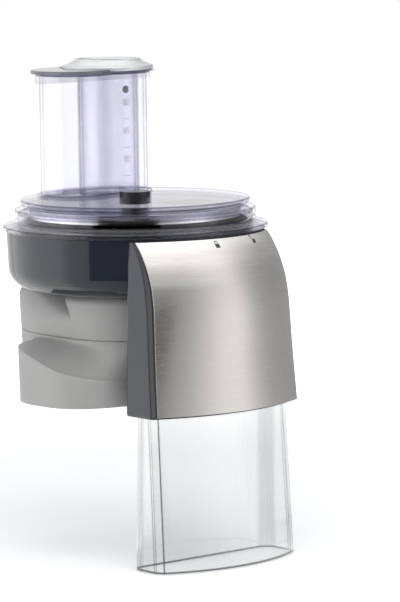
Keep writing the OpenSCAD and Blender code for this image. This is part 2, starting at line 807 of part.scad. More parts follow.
base_lower_shell();
base_upper_shell();
base_plate();
base_screws();
rubber_pads();
gear_case();
gear_case_cover();
cover_screws();
ring_gear();
sun_gear();
planet_gear_1();
planet_gear_2();
planet_gear_3();
planet_pins();
planet_carrier();
input_coupling();
input_shaft();
lower_bush();
upper_bush();
output_shaft();
shaft_circlip();
shaft_seal();
bowl();
chute_housing();
panel_trim();
steel_panel();
chute_extension();
disc_hub();
cutting_disc();
slicing_blade();
blade_rivets();
lid();
lid_bush();
feed_tube();
large_pusher();
pusher_plate();
small_pusher();
pusher_cap();
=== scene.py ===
# Food slicer attachment: smooth mouldings, finishes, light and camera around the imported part.
# Lengths in the dictionaries are millimetres in the part's own frame; meshes are made in metres.
import math
import bpy
import numpy as np
from mathutils import Matrix, Vector


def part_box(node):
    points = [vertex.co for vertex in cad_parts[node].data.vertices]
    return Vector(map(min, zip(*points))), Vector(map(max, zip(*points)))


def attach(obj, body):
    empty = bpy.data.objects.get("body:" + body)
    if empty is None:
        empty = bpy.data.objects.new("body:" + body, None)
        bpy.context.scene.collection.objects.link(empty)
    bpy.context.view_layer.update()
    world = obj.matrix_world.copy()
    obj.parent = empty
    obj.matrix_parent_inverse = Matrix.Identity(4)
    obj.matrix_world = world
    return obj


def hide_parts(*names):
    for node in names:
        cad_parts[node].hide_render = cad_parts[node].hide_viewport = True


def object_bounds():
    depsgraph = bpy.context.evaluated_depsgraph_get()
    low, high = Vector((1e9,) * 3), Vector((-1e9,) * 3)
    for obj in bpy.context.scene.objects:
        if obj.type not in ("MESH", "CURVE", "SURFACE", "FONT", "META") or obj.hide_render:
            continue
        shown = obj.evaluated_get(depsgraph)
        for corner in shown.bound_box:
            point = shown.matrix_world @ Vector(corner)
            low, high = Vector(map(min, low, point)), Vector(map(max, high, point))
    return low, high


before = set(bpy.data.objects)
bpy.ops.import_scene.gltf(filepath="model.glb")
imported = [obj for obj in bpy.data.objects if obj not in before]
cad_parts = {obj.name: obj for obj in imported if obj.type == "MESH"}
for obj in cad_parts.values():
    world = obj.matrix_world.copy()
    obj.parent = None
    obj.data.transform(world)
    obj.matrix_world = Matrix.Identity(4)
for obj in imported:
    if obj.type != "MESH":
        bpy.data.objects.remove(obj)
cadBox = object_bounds()
mm = 0.001
turn = 2 * np.pi


def edgesOf(node):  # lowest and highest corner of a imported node, in mm
    low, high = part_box(node)
    return np.array(low) / mm, np.array(high) / mm


# Angles in degrees; aimRight and aimHeight are measured from the drive axis at the bowl's rim.
view = {"azimuth": -40.269, "pitch": 6.848, "roll": -0.841, "distance": 2531.897,
        "aimRight": 42.174, "aimHeight": -49.822, "lens": 227.143196, "sensor": 36, "rim": 111.0}


def makeCamera():
    # It looks at a point beside the drive axis and below the bowl's rim, from azimuth and pitch,
    # and then rolls about its own axis.
    a, e, r = (math.radians(view[k]) for k in ("azimuth", "pitch", "roll"))
    right = Vector((math.cos(a), math.sin(a), 0))
    back = Vector((math.sin(a) * math.cos(e), -math.cos(a) * math.cos(e), math.sin(e)))
    up = back.cross(right)
    rolledRight = math.cos(r) * right + math.sin(r) * up
    rolledUp = -math.sin(r) * right + math.cos(r) * up
    aim = Vector((0, 0, view["rim"] + view["aimHeight"])) + right * view["aimRight"]
    place = aim + back * view["distance"]
    data = bpy.data.cameras.new("view_camera")
    data.sensor_width, data.lens = view["sensor"], view["lens"]
    data.clip_end = 20
    camera = bpy.data.objects.new("view_camera", data)
    axes = Matrix((rolledRight, rolledUp, back)).transposed().to_4x4()
    camera.matrix_world = Matrix.Translation(place * mm) @ axes
    bpy.context.scene.collection.objects.link(camera)
    bpy.context.scene.camera = camera


makeCamera()
print("camera made")


def newMaterial(name):
    material = bpy.data.materials.new(name)
    material.use_nodes = True
    tree = material.node_tree
    tree.nodes.clear()
    out = tree.nodes.new("ShaderNodeOutputMaterial")
    place = tree.nodes.new("ShaderNodeTexCoord")
    return material, tree, out, place.outputs["Object"]


def noiseAt(tree, place, scale, detail=2.0, stretch=(1, 1, 1)):
    # Noise on object coordinates, squeezed along each axis by stretch.
    mapping = tree.nodes.new("ShaderNodeMapping")
    mapping.inputs["Scale"].default_value = stretch
    noise = tree.nodes.new("ShaderNodeTexNoise")
    noise.inputs["Scale"].default_value = scale
    noise.inputs["Detail"].default_value = detail
    tree.links.new(place, mapping.inputs["Vector"])
    tree.links.new(mapping.outputs["Vector"], noise.inputs["Vector"])
    return noise.outputs["Fac"]


def spread(tree, value, low, high):
    # A noise as a value between low and high. Most of a noise lies in the middle half of 0 to 1.
    node = tree.nodes.new("ShaderNodeMapRange")
    node.inputs["From Min"].default_value = 0.25
    node.inputs["From Max"].default_value = 0.75
    node.inputs["To Min"].default_value = low
    node.inputs["To Max"].default_value = high
    tree.links.new(value, node.inputs["Value"])
    return node.outputs["Result"]


def tones(tree, value, first, second):  # a pattern as a colour between two tones
    node = tree.nodes.new("ShaderNodeMix")
    node.data_type = "RGBA"
    node.inputs["A"].default_value = (*first, 1)
    node.inputs["B"].default_value = (*second, 1)
    tree.links.new(value, node.inputs["Factor"])
    return node.outputs["Result"]


def bumpFrom(tree, height, depth, strength):
    node = tree.nodes.new("ShaderNodeBump")
    node.inputs["Strength"].default_value = strength
    node.inputs["Distance"].default_value = depth * mm
    tree.links.new(height, node.inputs["Height"])
    return node.outputs["Normal"]


def maths(tree, operation, *values):  # a Math node; each value is a socket or a plain number
    node = tree.nodes.new("ShaderNodeMath")
    node.operation = operation
    for socket, value in zip(node.inputs, values):
        if isinstance(value, (int, float)):
            socket.default_value = value
        else:
            tree.links.new(value, socket)
    return node.outputs["Value"]


def blend(tree, factor, first, second):  # two shaders mixed; factor is a socket or a number
    mix = tree.nodes.new("ShaderNodeMixShader")
    if isinstance(factor, float):
        mix.inputs[0].default_value = factor
    else:
        tree.links.new(factor, mix.inputs[0])
    tree.links.new(first, mix.inputs[1])
    tree.links.new(second, mix.inputs[2])
    return mix.outputs["Shader"]


def surfaceFinish(name, tone, other, grain, rough, metal=0.0, bump=0.02, strength=0.4,
                  stretch=(1, 1, 1), coat=0.0, patches=60.0, anisotropic=0.0, specular=0.5):
    # Colour drifts between two tones in wide patches; a fine grain sets roughness and bump.
    material, tree, out, place = newMaterial(name)
    shader = tree.nodes.new("ShaderNodeBsdfPrincipled")
    wide = noiseAt(tree, place, patches, 2, stretch)
    fine = noiseAt(tree, place, grain, 3, stretch)
    tree.links.new(tones(tree, wide, tone, other), shader.inputs["Base Color"])
    tree.links.new(spread(tree, fine, *rough), shader.inputs["Roughness"])
    tree.links.new(bumpFrom(tree, fine, bump, strength), shader.inputs["Normal"])
    shader.inputs["Metallic"].default_value = metal
    shader.inputs["Specular IOR Level"].default_value = specular
    shader.inputs["Coat Weight"].default_value = coat
    shader.inputs["Coat Roughness"].default_value = 0.03
    if anisotropic:  # brushed across the upright axis
        shader.inputs["Anisotropic"].default_value = anisotropic
        shader.inputs["Anisotropic Rotation"].default_value = 0.25
        tangent = tree.nodes.new("ShaderNodeTangent")
        tangent.direction_type, tangent.axis = "RADIAL", "Z"
        tree.links.new(tangent.outputs["Tangent"], shader.inputs["Tangent"])
    tree.links.new(shader.outputs["BSDF"], out.inputs["Surface"])
    return material


clearGloss = {"least": 0.04, "gain": 0.94, "glance": 5, "ripple": 14, "depth": 0.4, "strength": 0.15}


def clearFinish(name, face, edge, fall, rough=0.02, haze=0.0, hazeTone=(0.5, 0.5, 0.5)):
    # Clear plastic wall: light passes straight through, tinted from face towards edge. A wall that leans
    # away takes more of the edge tint, as one minus the cosine of the lean, raised to fall: partly the
    # plastic's own tint over a longer path, partly painted shade for light bent away at the wall's
    # edges. Moulded edges take the edge tint too, by the mesh's edge_shade, as painted shade for the
    # dark lines that refraction draws along them. A thin gloss lies on top, the same from both sides: it
    # grows from the least share with the fifth power of the lean. Haze mixes in a dull plastic that
    # light doesn't pass.
    material, tree, out, place = newMaterial(name)
    lean = tree.nodes.new("ShaderNodeLayerWeight")
    lean.inputs["Blend"].default_value = 0.5
    facing = lean.outputs["Facing"]
    edges = tree.nodes.new("ShaderNodeAttribute")
    edges.attribute_name = "edge_shade"
    # Painted shade: the wall turns to the edge tint where it is seen edge-on and along moulded edges.
    depth = maths(tree, "MAXIMUM", maths(tree, "POWER", facing, fall), edges.outputs["Fac"])
    through = tree.nodes.new("ShaderNodeBsdfTransparent")
    tree.links.new(tones(tree, depth, face, edge), through.inputs["Color"])
    body = through.outputs["BSDF"]
    if haze:
        dull = tree.nodes.new("ShaderNodeBsdfDiffuse")
        dull.inputs["Color"].default_value = (*hazeTone, 1)
        body = blend(tree, haze, body, dull.outputs["BSDF"])
    gloss = tree.nodes.new("ShaderNodeBsdfGlossy")
    gloss.inputs["Color"].default_value = (1, 1, 1, 1)
    ripple = noiseAt(tree, place, clearGloss["ripple"], 1)
    bump = bumpFrom(tree, ripple, clearGloss["depth"], clearGloss["strength"])
    tree.links.new(spread(tree, ripple, rough, rough * 2), gloss.inputs["Roughness"])
    tree.links.new(bump, gloss.inputs["Normal"])
    glance = maths(tree, "POWER", facing, clearGloss["glance"])
    mirror = maths(tree, "MULTIPLY_ADD", glance, clearGloss["gain"], clearGloss["least"])
    tree.links.new(blend(tree, mirror, body, gloss.outputs["BSDF"]), out.inputs["Surface"])
    return material


# Each finish: name, two tones, grain, range of roughness, and what sets it apart.
silver = surfaceFinish("satin_silver", (0.33, 0.33, 0.32), (0.36, 0.36, 0.35), 2600, (0.36, 0.5),
                       metal=0.15, bump=0.03, strength=0.35)
slate = surfaceFinish("slate_gloss", (0.014, 0.018, 0.026), (0.017, 0.021, 0.03), 1500, (0.07, 0.1),
                      bump=0.002, strength=0.1)
steel = surfaceFinish("brushed_steel", (0.60, 0.575, 0.55), (0.66, 0.64, 0.615), 60, (0.24, 0.42),
                      metal=1.0, bump=0.012, strength=0.5, stretch=(0.12, 6, 60), patches=18,
                      anisotropic=0.6)
turned = surfaceFinish("turned_steel", (0.86, 0.86, 0.86), (0.92, 0.92, 0.92), 900, (0.12, 0.2),
                       metal=1.0, bump=0.006, strength=0.3)
machined = surfaceFinish("machined_steel", (0.5, 0.5, 0.51), (0.6, 0.6, 0.61), 1400, (0.2, 0.36),
                         metal=1.0, bump=0.01, strength=0.4)
plated = surfaceFinish("plated_steel", (0.5, 0.51, 0.53), (0.6, 0.6, 0.6), 1800, (0.18, 0.34),
                       metal=1.0, bump=0.01)
alloy = surfaceFinish("cast_alloy", (0.42, 0.42, 0.43), (0.5, 0.5, 0.5), 900, (0.4, 0.6),
                      metal=1.0, bump=0.08)
bronze = surfaceFinish("sintered_bronze", (0.45, 0.3, 0.14), (0.55, 0.38, 0.2), 2200, (0.4, 0.55),
                       metal=1.0, bump=0.03)
nylon = surfaceFinish("natural_nylon", (0.66, 0.64, 0.55), (0.72, 0.7, 0.62), 1800, (0.4, 0.5),
                      bump=0.01)
darkPlastic = surfaceFinish("dark_plastic", (0.03, 0.032, 0.036), (0.045, 0.047, 0.052), 2400,
                            (0.35, 0.5), bump=0.03)
blackGloss = surfaceFinish("black_gloss", (0.008, 0.008, 0.01), (0.012, 0.012, 0.014), 1800,
                           (0.1, 0.16), bump=0.002)
# Black for the sheets in the panel's side gaps only: painted shade for the shadowed recess there.
recessShadeBlack = surfaceFinish("black_plastic", (0.012, 0.012, 0.014), (0.02, 0.02, 0.022), 2400,
                             (0.4, 0.55), bump=0.02)
rubber = surfaceFinish("matt_rubber", (0.02, 0.02, 0.021), (0.032, 0.032, 0.033), 1600, (0.7, 0.9),
                       bump=0.05, specular=0.3)
pearl = surfaceFinish("pearl_plastic", (0.52, 0.54, 0.54), (0.6, 0.61, 0.61), 2400, (0.2, 0.32),
                      metal=0.35, bump=0.012, coat=0.6)
ink = surfaceFinish("printed_ink", (0.02, 0.021, 0.025), (0.03, 0.031, 0.036), 2400, (0.5, 0.6),
                    bump=0.002)
# Each clear plastic: name, the tint of a wall seen face on and of one seen along it (its own tint
# deepened by painted shade for light bent at the edges), and the fall.
clear = clearFinish("clear_plastic", (0.984, 0.984, 0.994), (0.2, 0.19, 0.32), 12.0)
clearCup = clearFinish("clear_cup_plastic", (0.955, 0.955, 0.97), (0.2, 0.19, 0.32), 4.5)
clearChute = clearFinish("clear_chute_plastic", (0.963, 0.966, 0.969), (0.2, 0.21, 0.23), 8.0)
smoky = clearFinish("smoky_plastic", (0.74, 0.745, 0.77), (0.3, 0.3, 0.36), 2.0, rough=0.05,
                    haze=0.16, hazeTone=(0.5, 0.5, 0.56))

finishes = {
    "base_plate": darkPlastic, "base_screws": plated, "rubber_pads": rubber, "gear_case": alloy,
    "gear_case_cover": alloy, "cover_screws": plated, "ring_gear": nylon, "sun_gear": machined,
    "planet_gear_1": nylon, "planet_gear_2": nylon, "planet_gear_3": nylon, "planet_pins": machined,
    "planet_carrier": machined, "input_coupling": machined, "input_shaft": machined,
    "lower_bush": bronze, "upper_bush": bronze, "output_shaft": machined, "shaft_circlip": plated,
    "shaft_seal": rubber, "bowl": slate, "disc_hub": blackGloss, "cutting_disc": turned,
    "slicing_blade": turned, "blade_rivets": machined, "lid_bush": blackGloss,
}
for nodeName, finish in finishes.items():
    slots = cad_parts[nodeName].data.materials
    slots.clear()
    slots.append(finish)
print("finishes made")


def gridFaces(rows, columns, closeRows, closeColumns):
    # Four-cornered faces between the neighbours of a grid of points, wrapped where it closes.
    r = np.arange(rows if closeRows else rows - 1)[:, None]
    c = np.arange(columns if closeColumns else columns - 1)[None, :]
    nextR, nextC = (r + 1) % rows, (c + 1) % columns
    faces = [r * columns + c, r * columns + nextC, nextR * columns + nextC, nextR * columns + c]
    return np.stack(np.broadcast_arrays(*faces), -1).reshape(-1, 4)


noTris = np.zeros((0, 3), int)


def putMesh(name, points, quads, tris, body, slotName, material, replaced=(), crease=35, shade=None):
    # Fills a mesh from arrays, turns it outwards if its enclosed volume is negative, and rides it.
    # shade, one value a point, paints shade on the edges of clear plastic.
    corners = np.concatenate([quads[:, [0, 1, 2]], quads[:, [0, 2, 3]], tris])
    a, b, c = (points[corners[:, i]] for i in range(3))
    if np.einsum("ij,ij->i", a, np.cross(b, c)).sum() < 0:
        quads, tris = quads[:, ::-1], tris[:, ::-1]
    loops = np.concatenate([quads.ravel(), tris.ravel()]).astype(np.int32)
    starts = np.concatenate([np.arange(len(quads)) * 4, len(quads) * 4 + np.arange(len(tris)) * 3])
    mesh = bpy.data.meshes.new(name)
    mesh.vertices.add(len(points))
    mesh.vertices.foreach_set("co", (points * mm).astype(np.float32).ravel())
    mesh.loops.add(len(loops))
    mesh.loops.foreach_set("vertex_index", loops)
    mesh.polygons.add(len(starts))
    mesh.polygons.foreach_set("loop_start", starts.astype(np.int32))
    mesh.polygons.foreach_set("use_smooth", np.ones(len(starts), bool))
    mesh.update(calc_edges=True)
    mesh.validate()
    mesh.set_sharp_from_angle(angle=math.radians(crease))
    if shade is not None:
        tone = mesh.attributes.new("edge_shade", "FLOAT", "POINT")
        tone.data.foreach_set("value", np.asarray(shade, np.float32).ravel())
    mesh.materials.append(material)
    piece = bpy.data.objects.new(name, mesh)
    bpy.context.scene.collection.objects.link(piece)
    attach(piece, body)
    if replaced:
        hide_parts(*replaced)
    return piece


def ringSolid(name, rows, *rest, **more):
    # A closed wall: the rows go up its outside and down its inside, and each row is a closed loop.
    faces = gridFaces(*rows.shape[:2], True, True)
    return putMesh(name, rows.reshape(-1, 3), faces, noTris, *rest, **more)


def turning(points, axis):  # how sharply a closed grid bends at each point along one axis
    step = np.roll(points, -1, axis) - points
    step /= np.maximum(np.linalg.norm(step, axis=-1, keepdims=True), 1e-9)
    return np.arccos(np.clip((step * np.roll(step, 1, axis)).sum(-1), -1, 1))


# How the painted shade lies on clear plastic's moulded edges.
edgeShade = {"longSpan": 2.4, "guard": 0.7, "fullBend": 0.5, "dark": 0.85}  # fullBend in radians


def clearRing(name, rows, *rest, **more):
    # A ring solid of clear plastic. Long spans get a row close to each end, so that only the edges
    # themselves get painted shade, by how sharply they bend; it stands in for the dark lines that
    # refraction draws along moulded edges.
    guarded = []
    for row, after in zip(rows, np.roll(rows, -1, 0)):
        guarded.append(row)
        span = np.linalg.norm(after - row, axis=-1).mean()
        if span > edgeShade["longSpan"]:
            near = edgeShade["guard"]
            guarded += [row + (after - row) * near / span, after + (row - after) * near / span]
    guarded = np.array(guarded)
    bend = np.maximum(turning(guarded, 0), turning(guarded, 1))
    shade = np.clip(bend / edgeShade["fullBend"], 0, 1) * edgeShade["dark"]
    return ringSolid(name, guarded, *rest, shade=shade, **more)


def sheetFaces(count, columns):  # two matching grids, closed by strips along their four edges
    size = count * columns
    index = np.arange(size).reshape(count, columns)
    border = np.concatenate([index[0, :], index[1:, -1], index[-1, -2::-1], index[-2:0:-1, 0]])
    after = np.roll(border, -1)
    strips = np.stack([border, border + size, after + size, after], -1)
    face = gridFaces(count, columns, False, False)
    return np.concatenate([face, (face + size)[:, ::-1], strips])


def sheetSolid(name, outer, inner, *rest, **more):  # a sheet between two matching grids
    points = np.concatenate([outer.reshape(-1, 3), inner.reshape(-1, 3)])
    return putMesh(name, points, sheetFaces(*outer.shape[:2]), noTris, *rest, **more)


def turnedSolid(name, profile, centre, *rest, steps=256, closed=False, **more):
    # A profile of radius and height carried round an upright axis. It closes on itself as a ring, or
    # starts and ends on the axis, where its first and last rows become single points.
    angle = np.arange(steps) / steps * turn
    r, z = np.array(profile, float).T
    rows = np.stack([centre[0] + r[:, None] * np.cos(angle), centre[1] + r[:, None] * np.sin(angle),
                     np.broadcast_to(z[:, None], (len(r), steps))], -1)
    if closed:
        return ringSolid(name, rows, *rest, **more)
    body = rows[1:-1]
    count = len(body)
    ends = [row[:1] * [0, 0, 1] + [*centre, 0] for row in (rows[0], rows[-1])]
    c = np.arange(steps)
    after = (c + 1) % steps
    low, high = count * steps, count * steps + 1
    last = (count - 1) * steps
    fans = np.concatenate([np.stack([np.full(steps, low), after, c], -1),
                           np.stack([np.full(steps, high), last + c, last + after], -1)])
    points = np.concatenate([body.reshape(-1, 3), *ends])
    return putMesh(name, points, gridFaces(count, steps, False, True), fans, *rest, **more)


markLift = (0.1, 0.02)  # outside and inside of a printed mark, above the surface it is on


def printed(name, strokes, lay, body):
    # Marks printed on a surface. Each stroke is a width and a path of points (right, up), and lay
    # puts them on the surface at a height above it. Every stroke is a thin closed strip.
    points, quads, count = [], [], 0
    for width, path in strokes:
        path = np.array(path, float)
        way = np.gradient(path, axis=0)
        aside = np.stack([-way[:, 1], way[:, 0]], -1) / np.hypot(*way.T)[:, None] * width / 2
        strip = np.stack([path - aside, path + aside], 1)
        both = [lay(strip[..., 0], strip[..., 1], lift).reshape(-1, 3) for lift in markLift]
        points += both
        quads.append(sheetFaces(*strip.shape[:2]) + count)
        count += 2 * len(both[0])
    return putMesh(name, np.concatenate(points), np.concatenate(quads), noTris, body,
                   "black_plastic", ink)


def arcPath(x, y, rx, ry, start, end, count=25):  # part of an ellipse, in degrees from the right
    a = np.radians(np.linspace(start, end, count))
    return np.stack([x + rx * np.cos(a), y + ry * np.sin(a)], -1)


def rounded(corner, start, end, steps=5):
    # Quarter-round points between start and end that bow towards corner, as a squared blend.
    t = np.linspace(0, 1, steps)[:, None]
    corner, start, end = (np.array(p, float) for p in (corner, start, end))
    return [tuple(p) for p in (1 - t) ** 2 * start + 2 * t * (1 - t) * corner + t ** 2 * end]


def softMax(a, b, reach):  # the larger of two, with the change-over rounded over reach
    return (a + b + np.sqrt((a - b) ** 2 + reach ** 2)) / 2


def softMin(a, b, reach):
    return -softMax(-a, -b, reach)


def softStep(value):  # 0 below 0, 1 above 1, smooth between
    value = np.clip(value, 0, 1)
    return value * value * (3 - 2 * value)


def smoothLookup(at, xs, ys):
    # Smooth monotone curve through a table: cubic pieces whose slopes never overshoot.
    xs, ys = np.array(xs, float), np.array(ys, float)
    step, slope = np.diff(xs), np.diff(ys) / np.diff(xs)
    weight = (2 * step[1:] + step[:-1], step[1:] + 2 * step[:-1])
    inner = (weight[0] + weight[1]) / (weight[0] / slope[:-1] + weight[1] / slope[1:])
    lean = np.concatenate([[slope[0]], inner, [slope[-1]]])
    i = np.clip(np.searchsorted(xs, at) - 1, 0, len(step) - 1)
    t = (np.clip(at, xs[0], xs[-1]) - xs[i]) / step[i]
    return ((2 * t ** 3 - 3 * t ** 2 + 1) * ys[i] + (t ** 3 - 2 * t ** 2 + t) * step[i] * lean[i]
            + (3 * t ** 2 - 2 * t ** 3) * ys[i + 1] + (t ** 3 - t ** 2) * step[i] * lean[i + 1])


# The foot's edge slants down towards the front; step and sweep shape the wall above it.
base = {"halfWidth": 58.0, "back": 85.5, "height": 72.2, "power": 3.0, "draft": 2.4, "draftTop": 60.0,
        "footHalfWidth": 85.8, "footHalfDepth": 46.0, "footEdge": 30.5, "footSlope": 0.3,
        "footLimit": 38.0, "footDraft": 0.8, "footBlend": 3, "step": 1.3, "sweep": 1.5,
        "sweepTop": 1.5, "seam": 42.0, "wall": 3.0, "topRound": 7.0, "seatHole": 37.4,
        "seatSheet": 2.7, "seatLip": 2.5, "columns": 480}
grip = {"depth": 15.0, "low": 54.0, "length": 58.0, "rise": 1.25, "edgeY": -2.0, "edgeZ": 56.0,
        "slant": 0.517, "edgeSoft": 1.4}
baseAngle = np.arange(base["columns"]) / base["columns"] * turn


def ovalRadius(a, b, power):  # radius of a squarish oval at each angle
    x, y = np.cos(baseAngle) / a, np.sin(baseAngle) / b
    return (np.abs(x) ** power + np.abs(y) ** power) ** (-1 / power)


def lobeRadius(inset):  # half circle in front, squarer half oval behind
    a, b = base["halfWidth"] - inset, base["back"] - inset
    return np.where(np.sin(baseAngle) < 0, a, ovalRadius(a, b, base["power"]))


def lobeOn(z):  # the column's radius at a height; it narrows towards the mixer
    return lobeRadius(base["draft"] * np.clip(1 - z / base["draftTop"], 0, 1))


def baseRow(radius, z):
    z = np.broadcast_to(z, radius.shape)
    return np.stack([radius * np.cos(baseAngle), radius * np.sin(baseAngle), z], -1)


def makeLowerShell():
    # Rows from the ground: a rounded lower edge, the foot's wall up to its slanting edge, the sweep
    # in to the column, the column up to the seam, and down the inside.
    seam, wall = base["seam"], base["wall"]
    foot = ovalRadius(base["footHalfWidth"], base["footHalfDepth"], base["power"])
    slant = base["footEdge"] + base["footSlope"] * foot * np.sin(baseAngle)
    edgeZ = softMin(slant, base["footLimit"], base["footBlend"])
    top = seam - base["sweepTop"]
    low = softMax(lobeOn(0), foot - base["footDraft"], base["footBlend"])
    high = softMax(lobeOn(edgeZ), foot, base["footBlend"])
    reach = softStep((foot - lobeOn(edgeZ) + 2) / 6)  # 0 where the foot lies inside the column
    rows = [baseRow(low - 0.8, 0.0), baseRow(low - 0.25, 0.2), baseRow(low, 0.8)]
    for share in np.linspace(0.1, 1, 8):
        z = 0.8 + (edgeZ - 0.5 - 0.8) * share
        rows.append(baseRow(low + (high - low) * share, z))
    rows += [baseRow(high - 0.15 * reach, edgeZ - 0.15), baseRow(high - 0.5 * reach, edgeZ)]
    for share in np.linspace(0.03, 1, 18):
        z = edgeZ + (top - edgeZ) * share
        past = np.maximum(high - base["step"] * reach - lobeOn(z), 0)
        rows.append(baseRow(lobeOn(z) + past * (1 - share) ** base["sweep"], z))
    for share in np.linspace(0.2, 1, 5):
        z = top + (seam - 0.4 - top) * share
        rows.append(baseRow(lobeOn(z), z))
    rows += [baseRow(lobeOn(seam) - 0.5, seam - 0.05), baseRow(lobeOn(seam) - wall, seam - 0.05)]
    inner = softMax(lobeRadius(wall), foot - wall, 1)
    rows += [baseRow(np.minimum(lobeOn(seam) - wall, inner), edgeZ - wall),
             baseRow(inner, edgeZ - wall - 3), baseRow(inner, 4.0), baseRow(inner, 0.0)]
    ringSolid("base_lower_moulding", np.array(rows), "base", "silver_plastic", silver,
              replaced=("base_lower_shell",), crease=28)


def gripLimit(y, z):
    # How far out the side may stand beside a finger grip: a ramp that deepens towards the top,
    # starts at a crisp slanting edge and dies away towards the back.
    half, back, power = base["halfWidth"], base["back"], base["power"]
    side = np.where(y < 0, np.sqrt(np.maximum(half ** 2 - y ** 2, 0)),
                    half * np.maximum(1 - (np.abs(y) / back) ** power, 0) ** (1 / power))
    past = y - (grip["edgeY"] + (z - grip["edgeZ"]) * grip["slant"])
    rise = np.clip((z - grip["low"]) / (base["height"] - grip["low"]), 0, 1) ** grip["rise"]
    fade = np.clip(1 - past / grip["length"], 0, 1)
    depth = grip["depth"] * rise * softStep(past / grip["edgeSoft"]) * fade
    return side - depth, depth


def makeUpperShell():
    # Rows from the seam: up the column, round its top edge, in over the flat top to the seat's hole
    # and back down inside. The grips then hold the sides in.
    seam, top, edge = base["seam"], base["height"], base["topRound"]
    outer = [baseRow(lobeOn(seam) - base["wall"], seam + 0.05), baseRow(lobeOn(seam) - 0.5, seam + 0.05)]
    for z in np.linspace(seam + 0.45, top - edge, 30):
        outer.append(baseRow(lobeOn(z), z))
    for a in np.radians(np.linspace(7, 90, 14)):
        outer.append(baseRow(lobeRadius(edge * (1 - np.cos(a))), top - edge * (1 - np.sin(a))))
    flat, hole = lobeRadius(edge), base["seatHole"]
    for share in np.linspace(0.05, 1, 24):
        outer.append(baseRow(flat + (hole - flat) * share, top))
    rows = np.array(outer)
    x, y, z = rows[..., 0], rows[..., 1], rows[..., 2]
    limit, depth = gripLimit(y, z)
    held = softMin(np.abs(x), limit, 0.5)
    rows[..., 0] = np.where(depth > 0.02, np.sign(x) * held, x)
    bore = np.full(base["columns"], hole)
    below = top - base["seatSheet"]
    inside = [baseRow(bore, below), baseRow(bore + base["seatLip"], below),
              baseRow(bore + base["seatLip"], seam + 0.05)]
    ringSolid("base_upper_moulding", np.concatenate([rows, inside]), "base", "silver_plastic", silver,
              replaced=("base_upper_shell",), crease=28)


makeLowerShell()
makeUpperShell()
print("base made")


# Widths are half widths. out says how far the front's corners have come forward at each share of
# the chute's length. points counts those of half the back, of a side and of the front in a section.
chute = {"topWidth": 57.5, "lowWidth": 61.0, "back": 61.4, "length": 113.6, "cornerY": -67.35,
         "wall": 2.4, "lipRound": 0.22, "clear": 0.8, "bowTop": 20.2, "bowLow": 14.3,
         "share": (0, 0.05, 0.1, 0.15, 0.2, 0.27, 0.4, 0.64, 1),
         "out": (0, 5.5, 9.5, 12.9, 15.5, 18.3, 20.6, 22.1, 25), "points": (54, 30, 120)}
panel = {"thick": 1.0, "gap": 1.3, "top": 1.0, "low": 1.4, "setBack": 2.8, "ease": 0.33, "fold": 1.0,
         "foldFrom": 0.985, "foldOver": 0.008, "bevel": 0.28, "rows": 130, "columns": 140}
bowl = {"depth": 38.5, "flat": 70.0, "edge": 15.0}  # its floor below the rim, flat to a radius
rimZ = view["rim"]
bowlFloorZ = rimZ - bowl["depth"]


def chuteZ(k):  # height at share k of the chute's length
    return rimZ - k * chute["length"]


def chuteSize(k):  # half width, front radius and its centre at share k
    w = chute["topWidth"] + (chute["lowWidth"] - chute["topWidth"]) * k
    bow = chute["bowTop"] + (chute["bowLow"] - chute["bowTop"]) * k
    edge = w - panel["gap"]
    r = (edge ** 2 + bow ** 2) / (2 * bow)
    centre = chute["cornerY"] - smoothLookup(k, chute["share"], chute["out"]) - bow + r
    return w, r, centre


def chuteFront(x, k, inset=0.0):  # y of the bowed front at x
    _, r, centre = chuteSize(k)
    return centre - np.sqrt((r - inset) ** 2 - x ** 2)


def behindPanel(k):  # how far the moulding's front stands behind the panel's face
    return panel["thick"] + 0.1 + panel["setBack"] * softStep(k / panel["ease"])


def chuteLoop(k, frontIn, sideIn, back):
    # One closed section for each row of k: half of the back, a side, the front, a side, half of the
    # back. k has one value for each row and column.
    w, r, centre = chuteSize(k)
    halfBack, side, front = chute["points"]
    f = np.concatenate([np.linspace(0, 1, halfBack, endpoint=False), np.full(side, 1.0),
                        np.linspace(1, -1, front, endpoint=False), np.full(side, -1.0),
                        np.linspace(-1, 0, halfBack, endpoint=False)])  # across, in half widths
    g = np.concatenate([np.zeros(halfBack), np.linspace(0, 1, side, endpoint=False),
                        np.full(front, 2.0), np.linspace(1, 0, side, endpoint=False),
                        np.zeros(halfBack)])  # forward from the back, and 2 on the front
    x = f * (w - sideIn)
    y = centre - np.sqrt((r - frontIn) ** 2 - x ** 2)
    y = np.where(g > 1.5, y, -back + (y + back) * g)
    return x, y


def relax(values, reach):
    # Rounds the corners of closed loops: each point becomes a weighted mean of its neighbours.
    weights = np.hanning(2 * reach + 3)[1:-1]
    return sum(weight * np.roll(values, shift, axis=1) for weight, shift in
               zip(weights / weights.sum(), range(-reach, reach + 1)))


def bowlUnderside(r):  # height of the bowl's outside at radius r: its floor, its edge, its wall
    edge, flat = bowl["edge"], bowl["flat"]
    outside = flat + edge
    curve = np.sqrt(np.maximum(edge ** 2 - np.clip(r - flat, 0, edge) ** 2, 0))
    wall = bowlFloorZ + edge + (r - outside) * (rimZ - bowlFloorZ - edge)
    beyond = np.where(r < outside + 1, wall, rimZ + 99)
    return np.where(r < flat, bowlFloorZ, np.where(r < outside, bowlFloorZ + edge - curve, beyond))


